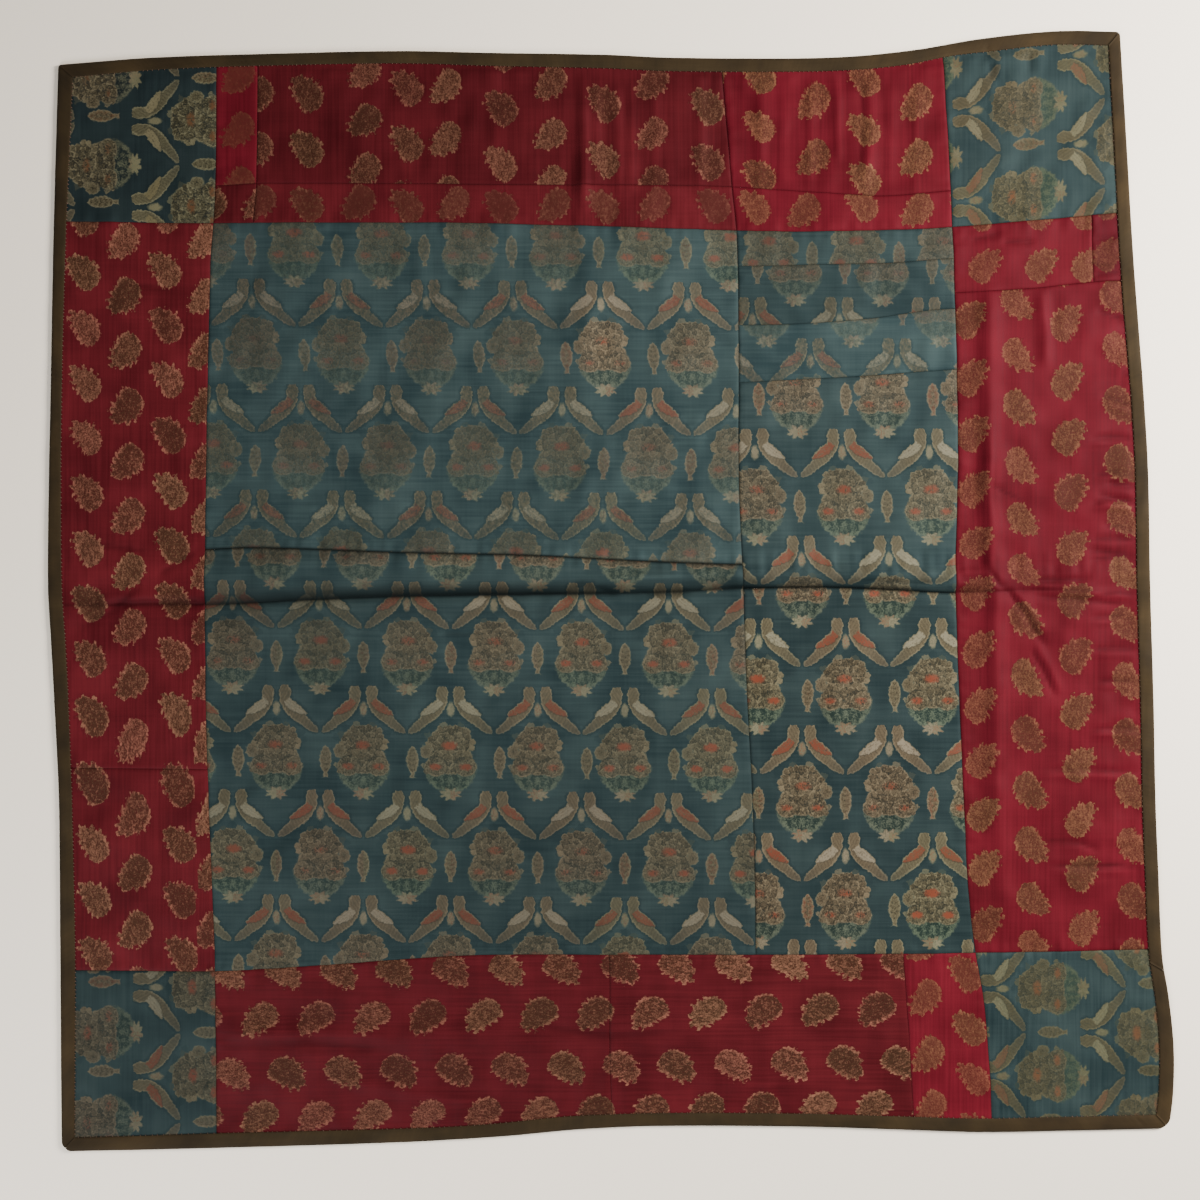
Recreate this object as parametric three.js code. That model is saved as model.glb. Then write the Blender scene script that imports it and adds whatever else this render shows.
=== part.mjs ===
// A square wrapping cloth of pieced silk brocade, laid out flat on a surface.
// A blue field of seven pieces lies inside red borders with four blue corner squares,
// and a folded olive tape binds the whole edge. The cloth keeps the soft fold across
// its middle, the worn creases of its borders and its uneven outline.
// Units are millimetres and +Z is up. X runs along the lower edge and Y up the cloth.
// The origin lies on the surface, under the middle of the cloth's box.

import * as THREE from 'three';

// Driving dimensions
const PANEL_THICKNESS = 1.5;
const SEAM_GAP = 0.3;
const BINDING_WIDTH = 11.5;
const BINDING_PLY = 1.0;
const BINDING_ROUND = 0.6;
const PLY_CLEARANCE = 0.3;
const EDGE_EASE = 0.1;
const HEM_FLAT = 14;
const HEM_FOOT = 27;

// Sizes that follow from them
const HEM_RISE = BINDING_PLY + PLY_CLEARANCE;
const HEM_SETBACK = HEM_RISE + EDGE_EASE;
const BINDING_HEIGHT = 2 * HEM_RISE + PANEL_THICKNESS;

// Heights of the folds and creases over the flat cloth
const BORDER_RIDGE_HEIGHT = 3.2;
const BORDER_RIDGE_REACH = 15;
const LOWER_RIDGE_HEIGHT = 2.4;
const LOWER_RIDGE_REACH = 22;
const CENTRE_CREASE_HEIGHT = 2.2;
const CENTRE_CREASE_REACH = 24;

const CLOTHS = {
  blue: { color: 0x35525a, roughness: 0.62, metalness: 0 },
  navy: { color: 0x25363d, roughness: 0.62, metalness: 0 },
  crimson: { color: 0x64161f, roughness: 0.58, metalness: 0 },
  rose: { color: 0x862433, roughness: 0.58, metalness: 0 },
  olive: { color: 0x413b27, roughness: 0.8, metalness: 0 },
};

// A line through rows of two values, [along, across], smooth between the rows
// and straight past the first and the last of them
function lineThrough(rows) {
  const slopeBetween = (a, b) => (rows[b][1] - rows[a][1]) / (rows[b][0] - rows[a][0]);
  const last = rows.length - 1;
  const slopes = rows.map((row, i) => slopeBetween(Math.max(i - 1, 0), Math.min(i + 1, last)));
  return (along) => {
    if (along <= rows[0][0]) {
      return rows[0][1] + slopes[0] * (along - rows[0][0]);
    }
    if (along >= rows[last][0]) {
      return rows[last][1] + slopes[last] * (along - rows[last][0]);
    }
    const next = rows.findIndex((row) => row[0] > along);
    const [x0, y0] = rows[next - 1];
    const [x1, y1] = rows[next];
    const span = x1 - x0;
    const t = (along - x0) / span;
    const bend = t * (1 - t) * span;
    const straight = y0 + (y1 - y0) * t * t * (3 - 2 * t);
    return straight + bend * ((1 - t) * slopes[next - 1] - t * slopes[next]);
  };
}

const shifted = (line, offset) => (along) => line(along) + offset;

// Lines that run up the cloth: rows of [y, x]
const leftEdge = lineThrough([
  [-455, -446], [-420, -446.5], [-272, -447.5], [-166, -448.5], [-120, -450.5],
  [-35, -455], [10, -457.5], [90, -457], [166, -455.5], [300, -453], [443, -449],
]);
const leftSeam = lineThrough([
  [-443, -318], [-308, -319], [-166, -324.5], [8, -327.5], [166, -325.5],
  [280, -323], [340, -319], [440, -318],
]);
const patchSeam = lineThrough([
  [-443, -288], [-308, -289], [8, -294], [200, -292], [312, -287.5], [346, -285], [441, -284],
]);
const centreLine = lineThrough([
  [-437, 10.5], [-375, 8], [-295, 7.5], [-180, -2], [-60, -9], [150, -13], [452, -12],
]);
const fieldSeam = lineThrough([
  [-440, 131], [-278, 129], [-166, 126.5], [-80, 122], [28, 118], [103, 115],
  [200, 115], [300, 113.5], [345, 109], [437, 101],
]);
const lowerSeam = lineThrough([
  [-439, 260.5], [-356, 255.5], [-296, 251.5], [-150, 246], [150, 242], [450, 242],
]);
const rightSeam = lineThrough([
  [-440, 325], [-390, 323], [-335, 318.5], [-293, 311.5], [-250, 306], [-166, 301.5],
  [-46, 296.5], [13, 294.5], [103, 296.5], [200, 295.5], [310, 292], [390, 288], [450, 284],
]);
const ridgeLine = lineThrough([
  [-440, 352], [-293, 341], [-200, 330], [-80, 328], [14, 326], [100, 322], [255, 322], [460, 320],
]);
const narrowSeam = lineThrough([[-440, 421], [-100, 418], [150, 414], [264, 409], [321, 407], [470, 400]]);
const rightEdge = lineThrough([
  [-438, 471.5], [-409, 475], [-370, 475.5], [-330, 471.5], [-295, 466], [-229, 463],
  [-166, 460.5], [-88, 459], [17, 456], [103, 454.5], [166, 451], [286, 442], [379, 436.5], [470, 431],
]);

// Lines that run across the cloth: rows of [x, y]
const bottomEdge = lineThrough([
  [-446, -457], [-349, -455], [-166, -449.5], [-80, -444.5], [-20, -439], [46, -436],
  [166, -436.5], [251, -439], [315, -441], [380, -440], [471, -438],
]);
const lowerRidge = lineThrough([[-446, -366], [-319, -363], [-35, -361], [150, -365], [475, -362]]);
const bottomSeam = lineThrough([
  [-446, -307], [-319, -307.5], [-240, -303.5], [-166, -298], [-90, -294],
  [10, -294], [166, -294], [312, -292.5], [462, -289.5],
]);
const crossSeam = lineThrough([[-450, -139], [-324, -140.5], [0, -142], [460, -142]]);
const foldLine = lineThrough([
  [-457, -5], [-329, -4], [-244, 0], [-166, 3], [-60, 4.5], [56, 6], [118, 9.5],
  [183, 10.5], [230, 9], [294, 6], [360, 8], [456, 6],
]);
const upperRollSeam = lineThrough([
  [-457, 36], [-327, 42], [-286, 43.5], [-166, 39.5], [-60, 37], [40, 32], [118, 29.5],
  [200, 31], [294, 29], [456, 32],
]);
const thirdStripSeam = lineThrough([
  [-456, 176], [-20, 178], [118, 180.5], [207, 185], [296, 191], [451, 196],
]);
const secondStripSeam = lineThrough([
  [-455, 226], [118, 228], [170, 229], [220, 233], [296, 241.5], [447, 232],
]);
const headSeam = lineThrough([
  [-454, 254], [-20, 253], [160, 253], [297, 255], [354, 258], [409, 263.5], [443, 265],
]);
const firstStripSeam = lineThrough([
  [-453, 281], [118, 277], [180, 278], [240, 279.5], [294, 283], [442, 290],
]);
const topSeam = lineThrough([
  [-453, 314], [-323, 312.5], [-166, 313], [-39, 311], [60, 308], [166, 305.5],
  [250, 307], [293, 309.5], [357, 314.5], [441, 322],
]);
const stripSeam = lineThrough([
  [-452, 344], [-320, 343.5], [-285, 345.5], [-133, 345], [58, 343.5], [109, 342.5],
  [177, 338], [234, 335], [288, 339], [440, 352],
]);
const topEdge = lineThrough([
  [-449, 443.5], [-371, 449.5], [-265, 453], [-166, 455], [-90, 453.5], [3, 452],
  [60, 449.5], [166, 449], [215, 451], [265, 456.5], [315, 465], [378, 471.5], [431, 471],
]);

// The lines of the mesh: each line, and the parts of the way from it to the next one
// at which a further line lies between them
const evenly = (cells) => Array.from({ length: cells - 1 }, (unused, i) => (i + 1) / cells);
const UPRIGHTS = [
  { name: 'leftEdge', line: leftEdge, between: [] },
  { name: 'leftHemFlat', line: shifted(leftEdge, HEM_FLAT), between: [] },
  { name: 'leftHemFoot', line: shifted(leftEdge, HEM_FOOT), between: evenly(4) },
  { name: 'leftSeam', line: leftSeam, between: [] },
  { name: 'patchSeam', line: patchSeam, between: evenly(10) },
  { name: 'centreLine', line: centreLine, between: evenly(4) },
  { name: 'fieldSeam', line: fieldSeam, between: evenly(4) },
  { name: 'lowerSeam', line: lowerSeam, between: evenly(2) },
  { name: 'rightSeam', line: rightSeam, between: evenly(2) },
  { name: 'ridgeLine', line: ridgeLine, between: evenly(3) },
  { name: 'narrowSeam', line: narrowSeam, between: [] },
  { name: 'rightHemFoot', line: shifted(rightEdge, -HEM_FOOT), between: [] },
  { name: 'rightHemFlat', line: shifted(rightEdge, -HEM_FLAT), between: [] },
  { name: 'rightEdge', line: rightEdge, between: [] },
];
const LEVELS = [
  { name: 'bottomEdge', line: bottomEdge, between: [] },
  { name: 'bottomHemFlat', line: shifted(bottomEdge, HEM_FLAT), between: [] },
  { name: 'bottomHemFoot', line: shifted(bottomEdge, HEM_FOOT), between: evenly(2) },
  { name: 'lowerRidge', line: lowerRidge, between: evenly(2) },
  { name: 'bottomSeam', line: bottomSeam, between: evenly(5) },
  { name: 'crossSeam', line: crossSeam, between: [0.28, 0.56, 0.8, 0.95] },
  { name: 'foldLine', line: foldLine, between: [0.2, 0.5, 0.78] },
  { name: 'upperRollSeam', line: upperRollSeam, between: [0.15, 0.35, 0.57, 0.78] },
  { name: 'thirdStripSeam', line: thirdStripSeam, between: evenly(2) },
  { name: 'secondStripSeam', line: secondStripSeam, between: [] },
  { name: 'headSeam', line: headSeam, between: [] },
  { name: 'firstStripSeam', line: firstStripSeam, between: [] },
  { name: 'topSeam', line: topSeam, between: [] },
  { name: 'stripSeam', line: stripSeam, between: evenly(3) },
  { name: 'topHemFoot', line: shifted(topEdge, -HEM_FOOT), between: [] },
  { name: 'topHemFlat', line: shifted(topEdge, -HEM_FLAT), between: [] },
  { name: 'topEdge', line: topEdge, between: [] },
];

// The pieces as they were cut: [name, cloth, left line, right line, lower line, upper line]
const PANELS = [
  ['corner_top_left', 'navy', 'leftEdge', 'leftSeam', 'topSeam', 'topEdge'],
  ['corner_top_right', 'blue', 'rightSeam', 'rightEdge', 'topSeam', 'topEdge'],
  ['corner_bottom_left', 'blue', 'leftEdge', 'leftSeam', 'bottomEdge', 'bottomSeam'],
  ['corner_bottom_right', 'blue', 'rightSeam', 'rightEdge', 'bottomEdge', 'bottomSeam'],
  ['field_left_upper', 'blue', 'leftSeam', 'fieldSeam', 'upperRollSeam', 'topSeam'],
  ['field_left_lower', 'blue', 'leftSeam', 'fieldSeam', 'bottomSeam', 'upperRollSeam'],
  ['field_right_strip_first', 'blue', 'fieldSeam', 'rightSeam', 'firstStripSeam', 'topSeam'],
  ['field_right_strip_second', 'blue', 'fieldSeam', 'rightSeam', 'secondStripSeam', 'firstStripSeam'],
  ['field_right_strip_third', 'blue', 'fieldSeam', 'rightSeam', 'thirdStripSeam', 'secondStripSeam'],
  ['field_right_middle', 'blue', 'fieldSeam', 'rightSeam', 'foldLine', 'thirdStripSeam'],
  ['field_right_lower', 'blue', 'fieldSeam', 'rightSeam', 'bottomSeam', 'foldLine'],
  ['top_end_patch', 'rose', 'leftSeam', 'patchSeam', 'stripSeam', 'topEdge'],
  ['top_small_patch', 'crimson', 'leftSeam', 'patchSeam', 'topSeam', 'stripSeam'],
  ['top_border_main', 'crimson', 'patchSeam', 'fieldSeam', 'stripSeam', 'topEdge'],
  ['top_border_strip', 'crimson', 'patchSeam', 'fieldSeam', 'topSeam', 'stripSeam'],
  ['top_border_right', 'rose', 'fieldSeam', 'rightSeam', 'stripSeam', 'topEdge'],
  ['top_border_right_strip', 'rose', 'fieldSeam', 'rightSeam', 'topSeam', 'stripSeam'],
  ['left_border_upper', 'crimson', 'leftEdge', 'leftSeam', 'crossSeam', 'topSeam'],
  ['left_border_lower', 'crimson', 'leftEdge', 'leftSeam', 'bottomSeam', 'crossSeam'],
  ['right_border_head', 'rose', 'rightSeam', 'narrowSeam', 'headSeam', 'topSeam'],
  ['right_border_narrow', 'rose', 'narrowSeam', 'rightEdge', 'headSeam', 'topSeam'],
  ['right_border_main', 'rose', 'rightSeam', 'rightEdge', 'bottomSeam', 'headSeam'],
  ['bottom_border_left', 'crimson', 'leftSeam', 'centreLine', 'bottomEdge', 'bottomSeam'],
  ['bottom_border_middle', 'crimson', 'centreLine', 'lowerSeam', 'bottomEdge', 'bottomSeam'],
  ['bottom_border_right', 'rose', 'lowerSeam', 'rightSeam', 'bottomEdge', 'bottomSeam'],
];

// The soft roll above the middle fold: rows of [x, height]
const rollHeight = lineThrough([
  [-428, 0], [-395, 1.2], [-330, 4.5], [-270, 7.5], [-100, 8], [60, 7.5], [112, 5],
  [150, 3.5], [230, 5.5], [290, 4], [330, 2.5], [380, 2], [426, 0],
]);
// Its section above the fold, rows of [share of the way to the roll's seam, share of the height]
const rollAbove = lineThrough([[0, 0.1], [0.2, 0.72], [0.5, 1], [0.78, 0.7], [1, 0.2], [1.9, 0]]);
// The low lip below the fold, rows of [distance, share of the height]
const rollBelow = lineThrough([[0, 0.1], [7, 0.4], [16, 0.25], [34, 0]]);
const ROLL_FAR_SHARE = 1.9;
const ROLL_FAR_DISTANCE = 34;

// Heights along the three creases, as shares: rows of [along, share]
const borderRidgeShare = lineThrough([[-270, 0], [-220, 0.5], [-100, 1], [180, 1], [240, 0.8], [262, 0]]);
const lowerRidgeShare = lineThrough([[-322, 0], [-270, 0.8], [-120, 1], [-35, 0.5], [0, 0]]);
const centreCreaseShare = lineThrough([[45, 0], [120, 0.5], [300, 0.8], [370, 1], [424, 0]]);

const clamped = (value, low, high) => Math.min(Math.max(value, low), high);

function middleRoll(x, y) {
  const height = Math.max(rollHeight(x), 0);
  const fold = foldLine(x);
  if (y < fold) {
    return height * rollBelow(Math.min(fold - y, ROLL_FAR_DISTANCE));
  }
  const share = (y - fold) / (upperRollSeam(x) - fold);
  return height * rollAbove(Math.min(share, ROLL_FAR_SHARE));
}

// A crease stands highest on its line and runs out to both sides
function crease(distance, reach, height, share) {
  return height * clamped(share, 0, 1) * Math.max(1 - Math.abs(distance) / reach, 0);
}

function hemRise(x, y) {
  const inside = Math.min(x - leftEdge(y), rightEdge(y) - x, topEdge(x) - y, y - bottomEdge(x));
  return HEM_RISE * clamped((HEM_FOOT - inside) / (HEM_FOOT - HEM_FLAT), 0, 1);
}

// Height of the cloth's underside over the surface that it lies on
function undersideHeight(x, y) {
  const folds = middleRoll(x, y)
    + crease(x - ridgeLine(y), BORDER_RIDGE_REACH, BORDER_RIDGE_HEIGHT, borderRidgeShare(y))
    + crease(y - lowerRidge(x), LOWER_RIDGE_REACH, LOWER_RIDGE_HEIGHT, lowerRidgeShare(x))
    + crease(x - centreLine(y), CENTRE_CREASE_REACH, CENTRE_CREASE_HEIGHT, centreCreaseShare(y));
  return Math.max(folds, hemRise(x, y));
}

// Every line of one direction, in order, and the place of each named one
function spreadLines(guides) {
  const lines = [];
  const places = {};
  guides.forEach((guide, i) => {
    places[guide.name] = lines.length;
    lines.push(guide.line);
    for (const share of guide.between) {
      lines.push((along) => THREE.MathUtils.lerp(guide.line(along), guides[i + 1].line(along), share));
    }
  });
  return { lines, places };
}

const uprights = spreadLines(UPRIGHTS);
const levels = spreadLines(LEVELS);

// The point where an upright line and a level line cross
const CROSSING_ROUNDS = 8;
function crossing(upright, level) {
  let y = level(0);
  let x = upright(y);
  for (let round = 0; round < CROSSING_ROUNDS; round += 1) {
    y = level(x);
    x = upright(y);
  }
  return { x, y, z: undersideHeight(x, y) };
}

const crossings = uprights.lines.map((upright) => levels.lines.map((level) => crossing(upright, level)));

// One closed body from its corners and triangles, with its faces pointing out
function closedGeometry(corners, triangles) {
  const volume = triangles.reduce((sum, [a, b, c]) => {
    const cross = new THREE.Vector3().crossVectors(corners[b], corners[c]);
    return sum + corners[a].dot(cross);
  }, 0);
  const outward = volume > 0 ? triangles : triangles.map(([a, b, c]) => [a, c, b]);
  const geometry = new THREE.BufferGeometry();
  geometry.setFromPoints(corners);
  geometry.setIndex(outward.flat());
  geometry.computeVertexNormals();
  return geometry;
}

const quad = (a, b, c, d) => [[a, b, c], [a, c, d]];

// A cut piece of cloth: a thin sheet over the crossings between its four lines,
// drawn back from each seam by half the gap and from the hem by the binding's fold
function panelGeometry(left, right, lower, upper) {
  const firstColumn = uprights.places[left];
  const lastColumn = uprights.places[right];
  const firstRow = levels.places[lower];
  const lastRow = levels.places[upper];
  const setback = (name) => (name.endsWith('Edge') ? HEM_SETBACK : SEAM_GAP / 2);
  const columns = lastColumn - firstColumn + 1;
  const rows = lastRow - firstRow + 1;
  const corners = [];
  for (const lift of [0, PANEL_THICKNESS]) {
    for (let column = firstColumn; column <= lastColumn; column += 1) {
      for (let row = firstRow; row <= lastRow; row += 1) {
        const point = crossings[column][row];
        const fromLeft = (column === firstColumn) * setback(left);
        const fromRight = (column === lastColumn) * setback(right);
        const fromBelow = (row === firstRow) * setback(lower);
        const fromAbove = (row === lastRow) * setback(upper);
        const x = point.x + fromLeft - fromRight;
        const y = point.y + fromBelow - fromAbove;
        corners.push(new THREE.Vector3(x, y, point.z + lift));
      }
    }
  }
  const under = (column, row) => column * rows + row;
  const over = (column, row) => columns * rows + column * rows + row;
  const triangles = [];
  for (let column = 0; column < columns - 1; column += 1) {
    for (let row = 0; row < rows - 1; row += 1) {
      const side = column + 1;
      const up = row + 1;
      triangles.push(...quad(over(column, row), over(side, row), over(side, up), over(column, up)));
      triangles.push(...quad(under(column, row), under(column, up), under(side, up), under(side, row)));
    }
  }
  for (let column = 0; column < columns - 1; column += 1) {
    const next = column + 1;
    const end = rows - 1;
    triangles.push(...quad(under(column, 0), under(next, 0), over(next, 0), over(column, 0)));
    triangles.push(...quad(under(next, end), under(column, end), over(column, end), over(next, end)));
  }
  for (let row = 0; row < rows - 1; row += 1) {
    const next = row + 1;
    const end = columns - 1;
    triangles.push(...quad(under(0, next), under(0, row), over(0, row), over(0, next)));
    triangles.push(...quad(under(end, row), under(end, next), over(end, next), over(end, row)));
  }
  return closedGeometry(corners, triangles);
}

// The tape's section as it wraps the edge: points of [distance from the fold, height]
const TAPE_SECTION = [
  [BINDING_ROUND, 0],
  [BINDING_WIDTH, 0],
  [BINDING_WIDTH, BINDING_PLY],
  [BINDING_PLY, BINDING_PLY],
  [BINDING_PLY, BINDING_HEIGHT - BINDING_PLY],
  [BINDING_WIDTH, BINDING_HEIGHT - BINDING_PLY],
  [BINDING_WIDTH, BINDING_HEIGHT],
  [BINDING_ROUND, BINDING_HEIGHT],
  [0, BINDING_HEIGHT - BINDING_ROUND],
  [0, BINDING_ROUND],
].map(([distance, height]) => new THREE.Vector2(distance, height));

// The four sides of the cloth, each with the way inwards from it and its edge as the
// panels have it, in points of [along, across]
const bottomPoints = crossings.map((column) => column[0]);
const topPoints = crossings.map((column) => column.at(-1));
const leftPoints = crossings[0];
const rightPoints = crossings.at(-1);
const SIDES = {
  left: { upright: true, inward: 1, points: leftPoints.map(({ x, y }) => [y, x]) },
  right: { upright: true, inward: -1, points: rightPoints.map(({ x, y }) => [y, x]) },
  bottom: { upright: false, inward: 1, points: bottomPoints.map(({ x, y }) => [x, y]) },
  top: { upright: false, inward: -1, points: topPoints.map(({ x, y }) => [x, y]) },
};

function pointFromEdge(side, along, distance) {
  const next = Math.max(side.points.findIndex((point) => point[0] >= along), 1);
  const [from, to] = [side.points[next - 1], side.points[next]];
  const across = THREE.MathUtils.mapLinear(along, from[0], to[0], from[1], to[1]) + side.inward * distance;
  return side.upright ? new THREE.Vector3(across, along, 0) : new THREE.Vector3(along, across, 0);
}

// A length of binding tape. Each end is given by where it is cut on the outer fold
// and where it is cut on the inner rim, so an end can be mitred or slanted.
function bindingGeometry(side, start, end) {
  const { mapLinear } = THREE.MathUtils;
  const innerOf = (outer) => mapLinear(outer, start.outer, end.outer, start.inner, end.inner);
  const edgeStations = side.points.map(([along]) => along);
  const between = edgeStations.filter((along) => along > start.outer && along < end.outer);
  const stations = [start.outer, ...between, end.outer];
  const corners = [];
  for (const station of stations) {
    const fold = pointFromEdge(side, station, 0);
    const rim = pointFromEdge(side, innerOf(station), BINDING_WIDTH);
    for (const place of TAPE_SECTION) {
      const corner = fold.clone().lerp(rim, place.x / BINDING_WIDTH);
      corners.push(corner.setZ(place.y));
    }
  }
  const around = TAPE_SECTION.length;
  const cap = THREE.ShapeUtils.triangulateShape(TAPE_SECTION, []);
  const lastStart = (stations.length - 1) * around;
  const triangles = cap.map(([a, b, c]) => [c, b, a]);
  triangles.push(...cap.map(([a, b, c]) => [lastStart + a, lastStart + b, lastStart + c]));
  for (let station = 0; station < stations.length - 1; station += 1) {
    for (let place = 0; place < around; place += 1) {
      const nextPlace = (place + 1) % around;
      const here = station * around;
      const ahead = here + around;
      triangles.push(...quad(here + place, here + nextPlace, ahead + nextPlace, ahead + place));
    }
  }
  return closedGeometry(corners, triangles);
}

// A mitred end at the cloth's corner, and the slanted join low on the right side
const MITRE_GAP = 0.22;
const MITRE_DEPTH = BINDING_WIDTH + MITRE_GAP;
const mitreAfter = (corner) => ({ outer: corner + MITRE_GAP, inner: corner + MITRE_DEPTH });
const mitreBefore = (corner) => ({ outer: corner - MITRE_GAP, inner: corner - MITRE_DEPTH });
const JOIN = { outer: -307.5, inner: -300.5 };
const joinBelow = { outer: JOIN.outer - SEAM_GAP / 2, inner: JOIN.inner - SEAM_GAP / 2 };
const joinAbove = { outer: JOIN.outer + SEAM_GAP / 2, inner: JOIN.inner + SEAM_GAP / 2 };
const wholeSide = ({ points }) => [mitreAfter(points[0][0]), mitreBefore(points.at(-1)[0])];

const TAPES = [
  ['binding_top', SIDES.top, ...wholeSide(SIDES.top)],
  ['binding_left', SIDES.left, ...wholeSide(SIDES.left)],
  ['binding_bottom', SIDES.bottom, ...wholeSide(SIDES.bottom)],
  ['binding_right_upper', SIDES.right, joinAbove, wholeSide(SIDES.right)[1]],
  ['binding_right_lower', SIDES.right, wholeSide(SIDES.right)[0], joinBelow],
];

const cloth = new THREE.Group();

function addPiece(name, geometry, colour) {
  const mesh = new THREE.Mesh(geometry, new THREE.MeshStandardMaterial(CLOTHS[colour]));
  mesh.name = name;
  cloth.add(mesh);
}

for (const [name, colour, left, right, lower, upper] of PANELS) {
  addPiece(name, panelGeometry(left, right, lower, upper), colour);
}
for (const [name, side, start, end] of TAPES) {
  addPiece(name, bindingGeometry(side, start, end), 'olive');
}

// The origin goes under the middle of the cloth
const middle = new THREE.Box3().setFromObject(cloth).getCenter(new THREE.Vector3());
cloth.position.set(-middle.x, -middle.y, 0);

export default cloth;
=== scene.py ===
# A square wrapping cloth pieced from two silk brocades and bound with a folded olive tape.
# Every cut piece is a thin sheet of its own on the folds of its solid, with its seams rolled
# down, and both brocades are woven by shader nodes on the sheet's own cloth coordinates.
# Tables are in millimetres on the maker's drawing, whose middle is DRAWING_MIDDLE. +Z is up.

import math

import bmesh
import bpy
import numpy as np
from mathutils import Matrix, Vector


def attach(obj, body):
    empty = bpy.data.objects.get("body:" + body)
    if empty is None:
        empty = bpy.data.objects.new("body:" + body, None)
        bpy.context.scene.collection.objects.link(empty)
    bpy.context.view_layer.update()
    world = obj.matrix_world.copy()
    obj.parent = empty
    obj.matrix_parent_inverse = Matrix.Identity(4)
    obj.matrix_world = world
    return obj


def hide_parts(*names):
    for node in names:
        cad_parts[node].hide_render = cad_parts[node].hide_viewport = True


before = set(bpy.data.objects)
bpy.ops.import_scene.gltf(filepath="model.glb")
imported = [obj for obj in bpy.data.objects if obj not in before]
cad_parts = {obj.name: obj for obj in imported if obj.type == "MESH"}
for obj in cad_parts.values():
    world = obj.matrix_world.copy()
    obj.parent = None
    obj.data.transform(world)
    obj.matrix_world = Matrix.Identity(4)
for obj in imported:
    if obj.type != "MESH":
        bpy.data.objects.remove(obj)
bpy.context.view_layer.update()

DRAWING_MIDDLE = (9.0705, 7.3796)
MM = 0.001

CLOTH = 1.0  # thickness of the brocade
ALLOWANCE = 0.4  # the seam allowance pressed flat under it
ALLOWANCE_WIDTH = 8.0
ALLOWANCE_RAISED = 0.3  # share of it that shows as a low step on the upper side
SEAM_GAP = 0.06
HEM_SETBACK = 1.4
HEM_HEIGHT = 0.8
LOFT = 0.9  # how far the cloth stands off the table on its ripples
STEP = 2.6  # spacing of the sheets' grid
UNDER_TAPE = (12, 17)  # how far in the binding presses the cloth flat, and where it lets go
TABLE_EASE = 0.12  # how softly a trough meets the table
SEAM_DIP = 0.58  # share of its thickness that the cloth loses at a seam
SEAM_REACH = 2.2  # how far from the seam it does
MOST_SEAMS_PAINTED_SHADE = 0.14  # how much darker painted shade makes most seams
TROUGH_SHADE = 0.3  # how much painted shade darkens a crease, and painted highlight lightens a ridge
RIDGE_LIGHT = 0.1


def line_through(rows):
    """A smooth line through rows of [along, across], straight past its ends."""
    along, across = np.array(rows, float).T
    last = len(along) - 1
    before = np.maximum(np.arange(last + 1) - 1, 0)
    after = np.minimum(np.arange(last + 1) + 1, last)
    slopes = (across[after] - across[before]) / (along[after] - along[before])

    def line(at):
        at = np.asarray(at, float)
        place = np.clip(np.searchsorted(along, at, side="right") - 1, 0, last - 1)
        span = along[place + 1] - along[place]
        share = np.clip((at - along[place]) / span, 0, 1)
        rise = across[place + 1] - across[place]
        straight = across[place] + rise * share * share * (3 - 2 * share)
        bend = share * (1 - share) * span
        inside = straight + bend * ((1 - share) * slopes[place] - share * slopes[place + 1])
        early = np.minimum(at - along[0], 0) * slopes[0]
        late = np.maximum(at - along[last], 0) * slopes[last]
        return inside + early + late

    return line


# Lines that run up the cloth: rows of [y, x]
left_edge = line_through([
    [-455, -446], [-420, -446.5], [-272, -447.5], [-166, -448.5], [-120, -450.5],
    [-35, -455], [10, -457.5], [90, -457], [166, -455.5], [300, -453], [443, -449],
])
left_seam = line_through([
    [-443, -318], [-308, -319], [-166, -324.5], [8, -327.5], [166, -325.5],
    [280, -323], [340, -319], [440, -318],
])
patch_seam = line_through([
    [-443, -288], [-308, -289], [8, -294], [200, -292], [312, -287.5], [346, -285], [441, -284],
])
centre_line = line_through([
    [-437, 10.5], [-375, 8], [-295, 7.5], [-180, -2], [-60, -9], [150, -13], [452, -12],
])
field_seam = line_through([
    [-440, 131], [-278, 129], [-166, 126.5], [-80, 122], [28, 118], [103, 115],
    [200, 115], [300, 113.5], [345, 109], [437, 101],
])
lower_seam = line_through([
    [-439, 260.5], [-356, 255.5], [-296, 251.5], [-150, 246], [150, 242], [450, 242],
])
right_seam = line_through([
    [-440, 325], [-390, 323], [-335, 318.5], [-293, 311.5], [-250, 306], [-166, 301.5],
    [-46, 296.5], [13, 294.5], [103, 296.5], [200, 295.5], [310, 292], [390, 288], [450, 284],
])
ridge_line = line_through([
    [-440, 352], [-293, 341], [-200, 330], [-80, 328], [14, 326], [100, 322], [255, 322], [460, 320],
])
narrow_seam = line_through([
    [-440, 421], [-100, 418], [150, 414], [264, 409], [321, 407], [470, 400],
])
right_edge = line_through([
    [-438, 471.5], [-409, 475], [-370, 475.5], [-330, 471.5], [-295, 466], [-229, 463],
    [-166, 460.5], [-88, 459], [17, 456], [103, 454.5], [166, 451], [286, 442], [379, 436.5],
    [470, 431],
])

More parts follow.
